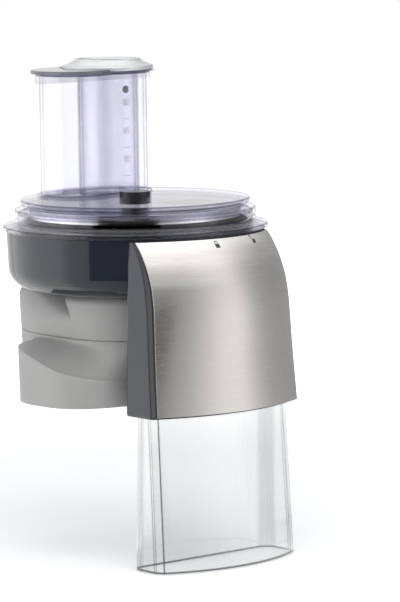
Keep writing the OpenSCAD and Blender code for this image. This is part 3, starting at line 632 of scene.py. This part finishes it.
def chuteWallRows(inset, back, count):
    # Rows of the chute's wall, from where each column meets the bowl down to the chute's end.
    halfBack, side, front = chute["points"]
    columns = 2 * halfBack + 2 * side + front
    fine = np.linspace(1, panel["top"] / chute["length"], 300)[:, None] * np.ones((1, columns))
    x, y = chuteLoop(fine, behindPanel(fine) + inset, inset, back)
    meets = chuteZ(fine) > bowlUnderside(np.hypot(x, y)) + chute["clear"]
    first = np.where(meets.any(0), meets.argmax(0), len(fine) - 1)
    topK = fine[first, np.arange(columns)]
    k = topK + (1 - topK) * np.linspace(0, 1, count)[:, None]
    x, y = chuteLoop(k, behindPanel(k) + inset, inset, back)
    return np.stack([relax(x, 2), relax(y, 2), chuteZ(k)], -1)


def makeHousing():
    # The wall's outside, a lip rounded by drawing both lowest rows together, and its inside.
    outer = chuteWallRows(0.0, chute["back"], 90)
    inner = chuteWallRows(chute["wall"], chute["back"] + chute["wall"], 60)[::-1]
    lip = (outer[-1] + inner[0]) / 2
    outer[-1] = outer[-1] + (inner[0] - outer[-1]) * chute["lipRound"]
    inner[0] = inner[0] + (outer[-1] - inner[0]) * chute["lipRound"]
    ringSolid("chute_moulding", np.concatenate([outer, lip[None], inner]), "bowl", "slate_plastic",
              slate, replaced=("chute_housing",), crease=40)


def panelShares():  # shares of the chute's length that the panel covers, one for each row
    top, low = panel["top"] / chute["length"], 1 - panel["low"] / chute["length"]
    return np.linspace(top, low, panel["rows"])[:, None]


def makePanel():
    # The bowed front on a grid across and down; its sides turn back below the ease.
    k = panelShares()
    u = np.linspace(-1, 1, panel["columns"])[None, :]
    x = u * (chuteSize(k)[0] - panel["gap"])
    k = np.broadcast_to(k, x.shape)
    outer = np.stack([x, chuteFront(x, k), chuteZ(k)], -1)
    side = softStep((np.abs(u) - panel["foldFrom"]) / panel["foldOver"])
    fold = panel["fold"] * softStep(k / panel["ease"]) * side
    inner = np.stack([x, chuteFront(x, k, panel["thick"] + fold), chuteZ(k)], -1)
    piece = sheetSolid("steel_front", outer, inner, "bowl", "brushed_steel", steel,
                       replaced=("steel_panel",))
    edges = piece.modifiers.new("edges", "BEVEL")
    edges.width, edges.segments = panel["bevel"] * mm, 2
    edges.limit_method, edges.angle_limit = "ANGLE", math.radians(50)


def makeGapShade():
    # A black sheet in the gap along each side of the panel, from just behind its face to the moulding:
    # painted shade for the shadowed recess between the panel and the moulding.
    k = panelShares()
    across = panel["gap"] - 0.05 - np.linspace(0, 1, 4)[None, :] * (panel["gap"] - 0.3)
    for side, word, replaced in ((-1, "left", ("panel_trim",)), (1, "right", ())):
        x = side * (chuteSize(k)[0] - across)
        kk = np.broadcast_to(k, x.shape)
        outer = np.stack([x, chuteFront(x, kk, 0.4), chuteZ(kk)], -1)
        inner = np.stack([x, chuteFront(x, kk, behindPanel(kk)), chuteZ(kk)], -1)
        sheetSolid(f"panel_gap_shade_{word}", outer, inner, "bowl", "black_plastic", recessShadeBlack,
                   replaced=replaced)


# Each sign's place is its x and its share of the chute's length.
signs = {"closed": (-7.0, 0.045), "open": (28.0, 0.043), "body": (3.2, 2.4), "bow": 1.0,
         "line": 0.45, "aside": -2.0, "raised": 0.7}


def makeSign(word):
    # A padlock: a thick short stroke as its body and a bow over it, moved aside and up when open.
    x0, k0 = signs[word]
    (wide, high), bow = signs["body"], signs["bow"]
    aside, raised = (signs["aside"], signs["raised"]) if word == "open" else (0, 0)

    def lay(right, up, lift):
        k = k0 - up / chute["length"]
        return np.stack([x0 + right, chuteFront(x0 + right, k, -lift), chuteZ(k)], -1)

    foot, top = high / 2 - 0.2, high / 2 + 0.5 + raised
    arch = arcPath(aside, top, bow, bow * 1.1, 180, 0)
    start, end = (aside - bow, top - 0.4 if raised else foot), (aside + bow, foot)
    body = np.stack([np.linspace(-wide / 2, wide / 2, 6), np.zeros(6)], -1)
    strokes = [(high, body), (signs["line"], np.concatenate([[start], arch, [end]]))]
    printed(f"{word}_sign", strokes, lay, "bowl")


makeHousing()
makePanel()
makeGapShade()
makeSign("closed")
makeSign("open")
print("chute made")


extension = {"wall": 2.0, "plug": 16.0, "lowWidth": 59.0, "lowY": -89.8, "lowBow": 16.4,
             "length": 100.6, "cornerCut": 4.2, "backRound": 9.0, "lip": 0.5, "points": 420,
             "fit": 0.3}


def bowedLoop(w, y, bow, back, inset):
    # A closed section with a bowed front, cut front corners and round back corners, evenly spaced,
    # drawn in by inset along its normals.
    cut, bend = extension["cornerCut"], extension["backRound"]
    r = (w * w + bow * bow) / (2 * bow)
    half = math.asin((w - cut * 0.75) / r)
    a = np.linspace(-half, half, 60)
    front = np.stack([r * np.sin(a), y - bow + r - r * np.cos(a)], -1)
    q = np.radians(np.linspace(0, 90, 14))
    right = np.stack([w - bend + bend * np.cos(q), -back - bend + bend * np.sin(q)], -1)
    left = np.stack([-(w - bend) - bend * np.sin(q), -back - bend + bend * np.cos(q)], -1)
    loop = np.concatenate([front, [[w, y + cut]], right, left, [[-w, y + cut]]])
    dense = np.concatenate([loop, loop[:1]])
    along = np.concatenate([[0], np.cumsum(np.hypot(*np.diff(dense, axis=0).T))])
    s = np.linspace(0, along[-1], extension["points"], endpoint=False)
    loop = np.stack([np.interp(s, along, dense[:, 0]), np.interp(s, along, dense[:, 1])], -1)
    tangent = np.roll(loop, -1, 0) - np.roll(loop, 1, 0)
    tangent /= np.hypot(*tangent.T)[:, None]
    normal = np.stack([-tangent[:, 1], tangent[:, 0]], -1)
    return loop + normal * inset


def makeExtension():
    # Sections from the plug, which fits inside the chute's end, change evenly to the lower end.
    e = extension
    k = 1 - e["plug"] / chute["length"]
    w, r, centre = (float(v) for v in chuteSize(np.array(k)))
    gap = chute["wall"] + e["fit"]
    front = float(behindPanel(np.array(k))) + gap
    plugY = centre - math.sqrt((r - front) ** 2 - (w - gap) ** 2)
    plugBow = plugY - (centre - (r - front))
    endZ = chuteZ(1)

    def mix(a, b, share):
        return a + (b - a) * share

    def loopAt(share, inset):  # 0 at the plug, 1 at the lower end
        return bowedLoop(mix(w - gap, e["lowWidth"], share), mix(plugY, e["lowY"], share),
                         mix(plugBow, e["lowBow"], share),
                         mix(chute["back"] + gap, chute["back"] + e["fit"], share), inset)

    def row(z, loop):
        return np.concatenate([loop, np.full((len(loop), 1), z)], 1)

    levels = [(endZ + e["plug"], 0.0), (endZ - 1, 0.0)]
    levels += [(endZ - 1 + (1 - e["length"]) * t, t) for t in np.linspace(0.1, 1, 12)]
    outer = [row(z, loopAt(share, 0.0)) for z, share in levels]
    inner = [row(z, loopAt(share, e["wall"])) for z, share in levels]
    low = levels[-1][0]
    outer[-1][:, 2] += e["lip"]
    inner[-1][:, 2] += e["lip"]
    lip = [row(low, loopAt(1, e["lip"])), row(low, loopAt(1, e["wall"] - e["lip"]))]
    clearRing("clear_extension", np.array(outer + lip + inner[::-1]), "extension", "clear_plastic",
              clearChute, replaced=("chute_extension",), crease=22)


makeExtension()
print("extension made")


# The feed tube's section is a bent slot. bend is half its length, in degrees round the drive axis;
# cupTurn is where the small pusher's axis stands on its centre line.
tube = {"centreRadius": 45.8, "bend": 21.9, "halfWidth": 25.1, "wall": 2.2, "length": 81.4,
        "footRound": 1.6, "cupTurn": 17.4}
lid = {"flange": 88.3, "wallOut": 80.4, "wallIn": 78.2, "neck": 74.0, "crown": 76.5, "height": 20.4,
       "crownSheet": 2.8, "shoulder": 14.2, "clear": 0.3, "columns": 720}
cupX = tube["centreRadius"] * math.sin(math.radians(tube["cupTurn"]))
cupY = tube["centreRadius"] * math.cos(math.radians(tube["cupTurn"]))
lidTop = rimZ + lid["height"]
tubeTop = lidTop + tube["length"]


def beanOutline(h):
    # An arc-shaped slot with round ends, h each side of its centre line, as dense points.
    middle, bend = tube["centreRadius"], math.radians(tube["bend"])
    t = np.linspace(-bend, bend, 300)
    far = np.stack([(middle + h) * np.sin(t), (middle + h) * np.cos(t)], -1)
    near = np.stack([(middle - h) * np.sin(t[::-1]), (middle - h) * np.cos(t[::-1])], -1)
    q = np.linspace(0, np.pi, 300)[1:-1]
    end = np.array([middle * np.sin(bend), middle * np.cos(bend)])
    right = end + h * np.stack([np.sin(bend + q), np.cos(bend + q)], -1)
    left = end * [-1, 1] + h * np.stack([np.sin(np.pi - bend + q), np.cos(np.pi - bend + q)], -1)
    return np.concatenate([far, right, near, left])


def beanReach(h, centre, angle):  # distance from centre to the bean along each angle
    p = beanOutline(h) - centre
    a = np.arctan2(p[:, 1], p[:, 0])
    order = np.argsort(a)
    a, d = a[order], np.hypot(*p.T)[order]
    return np.interp((angle + np.pi) % turn - np.pi, np.r_[a - turn, a, a + turn], np.r_[d, d, d])


def lidProfile():
    # Radius and height from the flange's underside up the outside to the crown's edge, and from the
    # crown's underside down inside the wall.
    low = rimZ + lid["clear"]
    f, wo, wi, n, c = (lid[k] for k in ("flange", "wallOut", "wallIn", "neck", "crown"))
    shoulder, under = rimZ + lid["shoulder"], lidTop - lid["crownSheet"]
    outside = [(wi + 0.4, low), (wi + 1.5, low), (f - 1.2, low)]
    outside += rounded((f, low), (f - 1, low), (f, low + 1)) + [(f, low + 2.2)]
    outside += rounded((f, low + 3.2), (f, low + 2.3), (f - 1.0, low + 3.3))
    for a in np.radians(np.linspace(15, 90, 9)):  # hollow slope from the flange to the wall
        outside.append((f - 1.4 - (f - wo - 1.4) * math.sin(a), low + 7 - 3.6 * math.cos(a)))
    outside += [(wo, shoulder - 3)]
    outside += rounded((wo, shoulder), (wo, shoulder - 1.6), (wo - 1.6, shoulder + 0.3))
    outside += [(n + 1, shoulder + 1.2)]
    outside += rounded((n, shoulder + 1.3), (n + 0.8, shoulder + 1.2), (n, shoulder + 2))
    outside += rounded((n, under - 0.5), (n, under - 0.8), (n + 0.6, under - 0.6), 3)
    outside += [(c - 0.9, under - 0.5)]
    outside += rounded((c, under - 0.4), (c - 0.8, under - 0.5), (c, under + 0.6))
    outside += [(c, lidTop - 1.3)] + rounded((c, lidTop), (c, lidTop - 1.1), (c - 1.1, lidTop))
    inside = [(n - 2.2, under - 0.3), (n - 2.2, shoulder - 0.6), (n - 1.4, shoulder - 0.9),
              (wi - 1.2, shoulder - 2.2), (wi - 0.3, shoulder - 2.7), (wi, shoulder - 3.6),
              (wi, low + 0.6)]
    return outside, inside


def makeLid():
    # One moulding: rows go out under the flange, up the wall, over the crown to the tube's foot, up
    # the tube and back down inside. On the crown, rows pass from circles to the tube's bean outline.
    phi = np.arange(lid["columns"]) / lid["columns"] * turn
    middle = np.array([0, tube["centreRadius"] - 2])
    edge = np.stack([lid["crown"] * np.cos(phi), lid["crown"] * np.sin(phi)], -1) - middle
    aim = np.arctan2(edge[:, 1], edge[:, 0])

    def circle(r, z):
        return np.stack([r * np.cos(phi), r * np.sin(phi), np.full(lid["columns"], float(z))], -1)

    def bean(h, z):
        d = beanReach(h, middle, aim)
        return np.stack([middle[0] + d * np.cos(aim), middle[1] + d * np.sin(aim),
                         np.full(lid["columns"], float(z))], -1)

    outside, inside = lidProfile()
    half, curve, under = tube["halfWidth"], tube["footRound"], lidTop - lid["crownSheet"]
    bore = half - tube["wall"]
    rows = [circle(r, z) for r, z in outside]
    rim, foot = circle(lid["crown"] - 1.6, lidTop), bean(half + curve, lidTop)
    rows += [rim + (foot - rim) * share for share in np.linspace(0, 1, 8)]
    for a in np.radians(np.linspace(20, 90, 4)):  # small fillet at the tube's foot
        rows.append(bean(half + curve * (1 - math.sin(a)), lidTop + curve * (1 - math.cos(a))))
    rows += [bean(half, z) for z in np.linspace(lidTop + 8, tubeTop - 0.6, 6)]
    rows += [bean(half - 0.2, tubeTop - 0.2), bean(half - 0.7, tubeTop)]
    rows += [bean(bore + 0.6, tubeTop), bean(bore + 0.1, tubeTop - 0.3)]
    rows += [bean(bore, z) for z in np.linspace(tubeTop - 1, under + 0.5, 6)]
    rows += [bean(bore + 0.15, under + 0.1), bean(bore + 0.6, under)]
    start, end = bean(bore + 1.2, under), circle(lid["neck"] - 2.8, under)
    rows += [start + (end - start) * share for share in np.linspace(0, 1, 8)]
    rows += [circle(r, z) for r, z in inside]
    clearRing("clear_lid", np.array(rows), "lid", "clear_plastic", clear,
              replaced=("lid", "feed_tube"), crease=30)


def aroundCup(angle, d, z):  # a closed row at distance d from the small pusher's axis
    z = np.broadcast_to(np.asarray(z, float), angle.shape)
    return np.stack([cupX + d * np.cos(angle), cupY + d * np.sin(angle), z], -1)


largePusher = {"halfWidth": 22.6, "wall": 1.8, "floor": 2.0, "sleeve": 20.0, "sleeveWall": 0.6,
               "columns": 720}


def makeLargePusher():
    # The bean-shaped cup with a round sleeve: outside up, inside down, floor in to the sleeve, over it
    # and back under the floor. Columns are angles round the sleeve's axis.
    angle = np.arange(largePusher["columns"]) / largePusher["columns"] * turn
    low, top = (edge[2] for edge in edgesOf("large_pusher"))
    w, floor = largePusher["halfWidth"], largePusher["floor"]
    inner = w - largePusher["wall"]
    sleeve = np.full(largePusher["columns"], largePusher["sleeve"])
    around = sleeve + largePusher["sleeveWall"]

    def bean(h):
        return beanReach(h, np.array([cupX, cupY]), angle)

    def loop(d, z):
        return aroundCup(angle, d, z)

    rows = [loop(bean(w - 1.5), low), loop(bean(w - 0.6), low + 0.15), loop(bean(w - 0.15), low + 0.6)]
    rows += [loop(bean(w), z) for z in np.linspace(low + 1.5, top, 6)]
    rows += [loop(bean(inner), z) for z in np.linspace(top, low + 3.2, 6)]
    rows += [loop(bean(inner - 0.1), low + 2.4),
             loop(np.maximum(bean(inner - 0.6), around + 0.02), low + floor),
             loop(around + 0.01, low + floor)]
    rows += [loop(around, z) for z in np.linspace(low + floor + 0.3, top, 5)]
    rows += [loop(sleeve, z) for z in np.linspace(top, low + 0.3, 5)]
    rows += [loop(sleeve + 0.3, low)]
    clearRing("clear_large_pusher", np.array(rows), "large_pusher", "clear_plastic", clear,
              replaced=("large_pusher",), crease=30)


plate = {"halfWidth": 28.3, "thick": 2.5, "floor": 0.8, "well": 32.2, "hole": 20.0, "columns": 480}


def makePlate():
    # A bean-shaped plate with a round well for the cap: the underside from the hole outwards, the
    # edge, the rim's top, down in to the well and back to the hole. At one end the well runs out
    # through the edge, which is then as low as the well's floor.
    angle = np.arange(plate["columns"]) / plate["columns"] * turn
    low, floor, well = edgesOf("pusher_plate")[0][2], plate["floor"], plate["well"]
    wellZ, rimTop = low + floor, low + plate["thick"]
    outer = beanReach(plate["halfWidth"], np.array([cupX, cupY]), angle)
    hole = np.full(plate["columns"], plate["hole"])
    opened = outer < well + 1.2
    inner = np.where(opened, outer - 0.8, well + 0.25)

    def either(one, other):  # a height where the well runs out, and one elsewhere
        return np.where(opened, one, other)

    profile = [(hole + 0.2, low), (outer - 1.0, low), (outer - 0.25, low + 0.12), (outer, low + 0.4),
               (outer, either(low + 0.6, rimTop - 0.8)),
               (outer - 0.15, either(wellZ, rimTop) - either(0.1, 0.3)),
               (outer - 0.5, either(wellZ, rimTop)), (inner, either(wellZ, rimTop)),
               (inner - 0.15, either(wellZ, wellZ + 0.1)), (inner - 0.3, wellZ),
               (hole + 0.3, wellZ), (hole, wellZ - 0.2), (hole, low + 0.2)]
    rows = np.array([aroundCup(angle, d, z) for d, z in profile])
    clearRing("smoky_plate", rows, "large_pusher", "smoky_plastic", smoky,
              replaced=("pusher_plate",), crease=30)


cup = {"radius": 19.6, "wall": 1.6, "floor": 2}


def makeSmallPusher():
    # A plain cup, turned: its floor and outside upwards, its rim, and its inside downwards.
    low, top = (edge[2] for edge in edgesOf("small_pusher"))
    r, floor = cup["radius"], low + cup["floor"]
    inner = r - cup["wall"]
    profile = [(0, low), (r - 2.4, low)] + rounded((r, low), (r - 2, low), (r, low + 2))
    profile += [(r, low + 12), (r, top - 20), (r, top - 0.5), (r - 0.3, top), (inner + 0.3, top)]
    profile += [(inner, top - 0.5), (inner, top - 20), (inner, low + 14)]
    profile += rounded((inner, floor), (inner, low + 4), (inner - 2, floor)) + [(0, floor)]
    turnedSolid("clear_cup", profile, (cupX, cupY), "small_pusher", "clear_plastic", clearCup,
                replaced=("small_pusher",), crease=30)


# face is the angle that the scale starts from; the other lengths are along the cup's surface.
scale = {"face": 229.7, "start": 11.1, "tick": 4.6, "line": 0.34, "thin": 0.27, "first": 3,
         "last": 8, "highest": 60.0, "pitch": 9.5, "digit": (0.85, 1.7), "apart": 1.2, "lift": 0.5,
         "spot": 2.6, "spotRise": 10.3}


def digitPaths(digit, x, y):
    # A digit round x, y from ellipses and straight strokes; the last case is a four.
    wide, high = scale["digit"]
    if digit == 0:
        return [arcPath(x, y, wide, high, 90, 450)]
    if digit == 8:
        return [arcPath(x, y + side * high / 2, wide, high / 2, 90, 450) for side in (-1, 1)]
    if digit == 6:
        return [arcPath(x, y - high / 2, wide, high / 2, 90, 450),
                arcPath(x + wide, y - high / 2, 2 * wide, high * 1.5, 95, 180)]
    stem, bar = x + wide * 0.4, y - high * 0.4
    return [np.linspace((stem, y + high), (x - wide, bar), 4),
            np.linspace((x - wide, bar), (x + wide, bar), 4),
            np.linspace((stem, y + high), (stem, y - high), 4)]


def makeScale():
    # Measuring marks, one for every ten millilitres. Every second mark has its number, and a round
    # spot, a stroke as wide as its own curve, stands over the highest one.
    floor = edgesOf("small_pusher")[0][2] + cup["floor"]

    def lay(right, up, lift):
        angle = np.radians(scale["face"]) + right / cup["radius"]
        r = cup["radius"] + lift
        return np.stack([cupX + r * np.cos(angle), cupY + r * np.sin(angle), floor + up], -1)

    start, end = scale["start"], scale["start"] + scale["tick"]
    middle, spot = start + scale["tick"] / 2, scale["spot"] / 2
    strokes = []
    for ten in range(scale["first"], scale["last"] + 1):
        up = scale["highest"] + (ten - scale["last"]) * scale["pitch"]
        strokes.append((scale["line"], np.linspace((start, up), (end, up), 5)))
        if ten % 2 == 0:
            y = up + scale["digit"][1] + scale["lift"]
            for digit, side in ((ten, -1), (0, 1)):
                paths = digitPaths(digit, middle + side * scale["apart"], y)
                strokes += [(scale["thin"], path) for path in paths]
    circle = arcPath(middle, scale["highest"] + scale["spotRise"], spot, spot, 0, 360)
    strokes.append((scale["spot"], circle))
    printed("scale_marks", strokes, lay, "small_pusher")


cap = {"radius": 30.8, "bore": 19.65, "rim": 3.2, "neck": 22.6}


def makeCap():
    # A turned ring: a flat underside, a rounded rim, a slope up to a low neck and a rounded bore.
    low, top = (edge[2] for edge in edgesOf("pusher_cap"))
    r, bore, rim, neck = (cap[k] for k in ("radius", "bore", "rim", "neck"))
    profile = [(bore, low), (r - 1.4, low)] + rounded((r, low), (r - 1.2, low), (r, low + 1.2))
    profile += rounded((r, low + rim), (r, low + 1.6), (r - 1.6, low + rim), 7)
    profile += [(r - 2.6, low + rim + 0.3)]
    profile += rounded((neck, top - 1.2), (r - 3.6, low + rim + 0.7), (neck, top - 0.9), 7)
    profile += rounded((neck - 0.2, top), (neck - 0.05, top - 0.7), (neck - 1, top))
    profile += rounded((bore + 0.75, top), (bore + 1.35, top), (bore + 0.55, top - 0.8))
    profile += [(bore, top - 1.6)]
    turnedSolid("pearl_cap", profile, (cupX, cupY), "small_pusher", "pearl_plastic", pearl,
                replaced=("pusher_cap",), closed=True, crease=30)


makeLid()
makeLargePusher()
makePlate()
makeSmallPusher()
makeScale()
makeCap()
print("lid and pushers made")


# Floor and height ranges are in metres and in shares of a whole sphere's radius. tones and flagBand
# are azimuths in degrees with a brightness; a lamp is its place, its aim, its size and its power.
light = {"world": 0.62, "ceiling": 2.5, "flag": 0.0, "horizon": (0.05, 0.11),
         "overhead": (0.35, 0.95), "floorHalf": 4.0, "floorBelow": 0.0008, "glowRange": (0.35, 1.1),
         "glowLeast": 0.3, "flagRange": (0.35, 0.6), "flagBand": ((90.1, 0), (189, 2), (254, 0)),
         "tones": ((95, 1.6), (160, 2.0), (172, 1.15), (188, 0.95), (232, 0.42), (256, 0.5),
                   (268, 0.62), (279, 0.92), (292, 1.25), (308, 1.4), (317, 0.85), (330, 0.56),
                   (350, 0.48), (22, 0.5), (48, 1.1)),
         "lamps": {"left_softbox": ((-1.1, 0.2, 0.42), (0, 0, 0.06), (1.3, 1.0), 2),
                   "front_softbox": ((-0.65, -1.35, 0.5), (0, 0, 0.04), (1.4, 1.0), 10),
                   "top_softbox": ((-0.35, -0.75, 1.6), (0, 0, 0.05), (1.1, 0.8), 7)}}


def smoothBetween(tree, value, low, high, first=0.0, last=1.0):
    node = tree.nodes.new("ShaderNodeMapRange")
    node.interpolation_type = "SMOOTHSTEP"
    for word, number in zip(("From Min", "From Max", "To Min", "To Max"), (low, high, first, last)):
        node.inputs[word].default_value = number
    tree.links.new(value, node.inputs["Value"])
    return node.outputs["Result"]


def bandRamp(tree, value, stops, sharp=False):  # brightness by azimuth, halved to stay below one
    ramp = tree.nodes.new("ShaderNodeValToRGB")
    ramp.color_ramp.interpolation = "CONSTANT" if sharp else "LINEAR"
    elements = ramp.color_ramp.elements
    places = sorted(((azimuth - 90) % 360 / 360, tone / 2) for azimuth, tone in stops)
    for i, (at, tone) in enumerate(places):
        element = elements[i] if i < 2 else elements.new(at)
        element.position, element.color = at, (tone, tone, tone, 1)
    tree.links.new(value, ramp.inputs["Fac"])
    return ramp.outputs["Color"]


def studioTone(tree, place, flagged):
    # What gloss and metal see around them: a white studio with softer and darker bands by azimuth,
    # and a black flag before the bowl wherever flagged is 1. The azimuth becomes a share of a turn.
    apart = tree.nodes.new("ShaderNodeSeparateXYZ")
    tree.links.new(place, apart.inputs[0])
    azimuth = maths(tree, "ARCTAN2", apart.outputs["Y"], apart.outputs["X"])
    share = maths(tree, "FRACT", maths(tree, "MULTIPLY_ADD", azimuth, 1 / turn, 0.75))
    bands = bandRamp(tree, share, light["tones"])
    black = maths(tree, "MULTIPLY", bandRamp(tree, share, light["flagBand"], sharp=True), flagged)
    dim = tree.nodes.new("ShaderNodeMapRange")  # the ramp's half brightness doubled, or the flag's
    dim.inputs["To Min"].default_value, dim.inputs["To Max"].default_value = 2.0, light["flag"]
    tree.links.new(black, dim.inputs["Value"])
    return maths(tree, "MULTIPLY", bands, dim.outputs["Result"])


def makeWorld():
    # The camera sees plain white, gloss sees the studio's bands under a bright ceiling, and all other
    # light comes from an even pale sky.
    world = bpy.data.worlds.new("studio")
    bpy.context.scene.world = world
    world.use_nodes = True
    tree = world.node_tree
    tree.nodes.clear()
    out, path = tree.nodes.new("ShaderNodeOutputWorld"), tree.nodes.new("ShaderNodeLightPath")
    place, height = tree.nodes.new("ShaderNodeTexCoord"), tree.nodes.new("ShaderNodeSeparateXYZ")
    seen, lit, shown, above = (tree.nodes.new("ShaderNodeBackground") for _ in range(4))
    seen.inputs["Color"].default_value = (1, 1, 1, 1)
    lit.inputs["Color"].default_value = (0.96, 0.98, 1.0, 1)
    lit.inputs["Strength"].default_value = light["world"]
    above.inputs["Strength"].default_value = light["ceiling"]
    tree.links.new(place.outputs["Generated"], height.inputs[0])
    low = smoothBetween(tree, height.outputs["Z"], *light["horizon"], 1.0, 0.0)
    tree.links.new(studioTone(tree, place.outputs["Generated"], low), shown.inputs["Strength"])
    raised = smoothBetween(tree, height.outputs["Z"], *light["overhead"])
    mirrored = blend(tree, raised, shown.outputs["Background"], above.outputs["Background"])
    reflected = blend(tree, path.outputs["Is Glossy Ray"], lit.outputs["Background"], mirrored)
    surface = blend(tree, path.outputs["Is Camera Ray"], reflected, seen.outputs["Background"])
    tree.links.new(surface, out.inputs["Surface"])


def makeFloor():
    # White paper that keeps the shadow near the object and glows to plain white further out.
    low, size = float(cadBox[0][2]) - light["floorBelow"], light["floorHalf"]
    mesh = bpy.data.meshes.new("floor")
    corners = [(-size, -size, low), (size, -size, low), (size, size, low), (-size, size, low)]
    mesh.from_pydata(corners, [], [(0, 1, 2, 3)])
    floor = bpy.data.objects.new("floor", mesh)
    bpy.context.scene.collection.objects.link(floor)
    material, tree, out, place = newMaterial("white_floor")
    paper, path = tree.nodes.new("ShaderNodeBsdfDiffuse"), tree.nodes.new("ShaderNodeLightPath")
    grain = tones(tree, noiseAt(tree, place, 3), (0.86, 0.86, 0.86), (0.88, 0.88, 0.88))
    tree.links.new(grain, paper.inputs["Color"])
    length = tree.nodes.new("ShaderNodeVectorMath")
    length.operation = "LENGTH"
    tree.links.new(place, length.inputs[0])
    away = length.outputs["Value"]
    glow, shown = (tree.nodes.new("ShaderNodeEmission") for _ in range(2))
    add = tree.nodes.new("ShaderNodeAddShader")
    strength = smoothBetween(tree, away, *light["glowRange"], light["glowLeast"])
    tree.links.new(strength, glow.inputs["Strength"])
    tree.links.new(paper.outputs["BSDF"], add.inputs[0])
    tree.links.new(glow.outputs["Emission"], add.inputs[1])
    flagged = smoothBetween(tree, away, *light["flagRange"])
    tree.links.new(studioTone(tree, place, flagged), shown.inputs["Strength"])
    glossy, shine = path.outputs["Is Glossy Ray"], shown.outputs["Emission"]
    reflected = blend(tree, glossy, paper.outputs["BSDF"], shine)
    surface = blend(tree, path.outputs["Is Camera Ray"], reflected, add.outputs["Shader"])
    tree.links.new(surface, out.inputs["Surface"])
    mesh.materials.append(material)


def softLight(name, place, aim, size, power):
    data = bpy.data.lights.new(name, "AREA")
    data.shape, data.size, data.size_y = "RECTANGLE", size[0], size[1]
    data.energy = power
    lamp = bpy.data.objects.new(name, data)
    lamp.location = place
    lamp.rotation_euler = (Vector(aim) - Vector(place)).to_track_quat("-Z", "Y").to_euler()
    lamp.visible_glossy = False  # the studio bands stand in for it in reflections
    bpy.context.scene.collection.objects.link(lamp)


makeWorld()
makeFloor()
for lampName, lampValues in light["lamps"].items():
    softLight(lampName, *lampValues)
scene = bpy.context.scene
scene.view_settings.view_transform = "Standard"
scene.cycles.transparent_max_bounces = 48  # enough for all the clear walls in one line
print("light made")

print("scene ready")
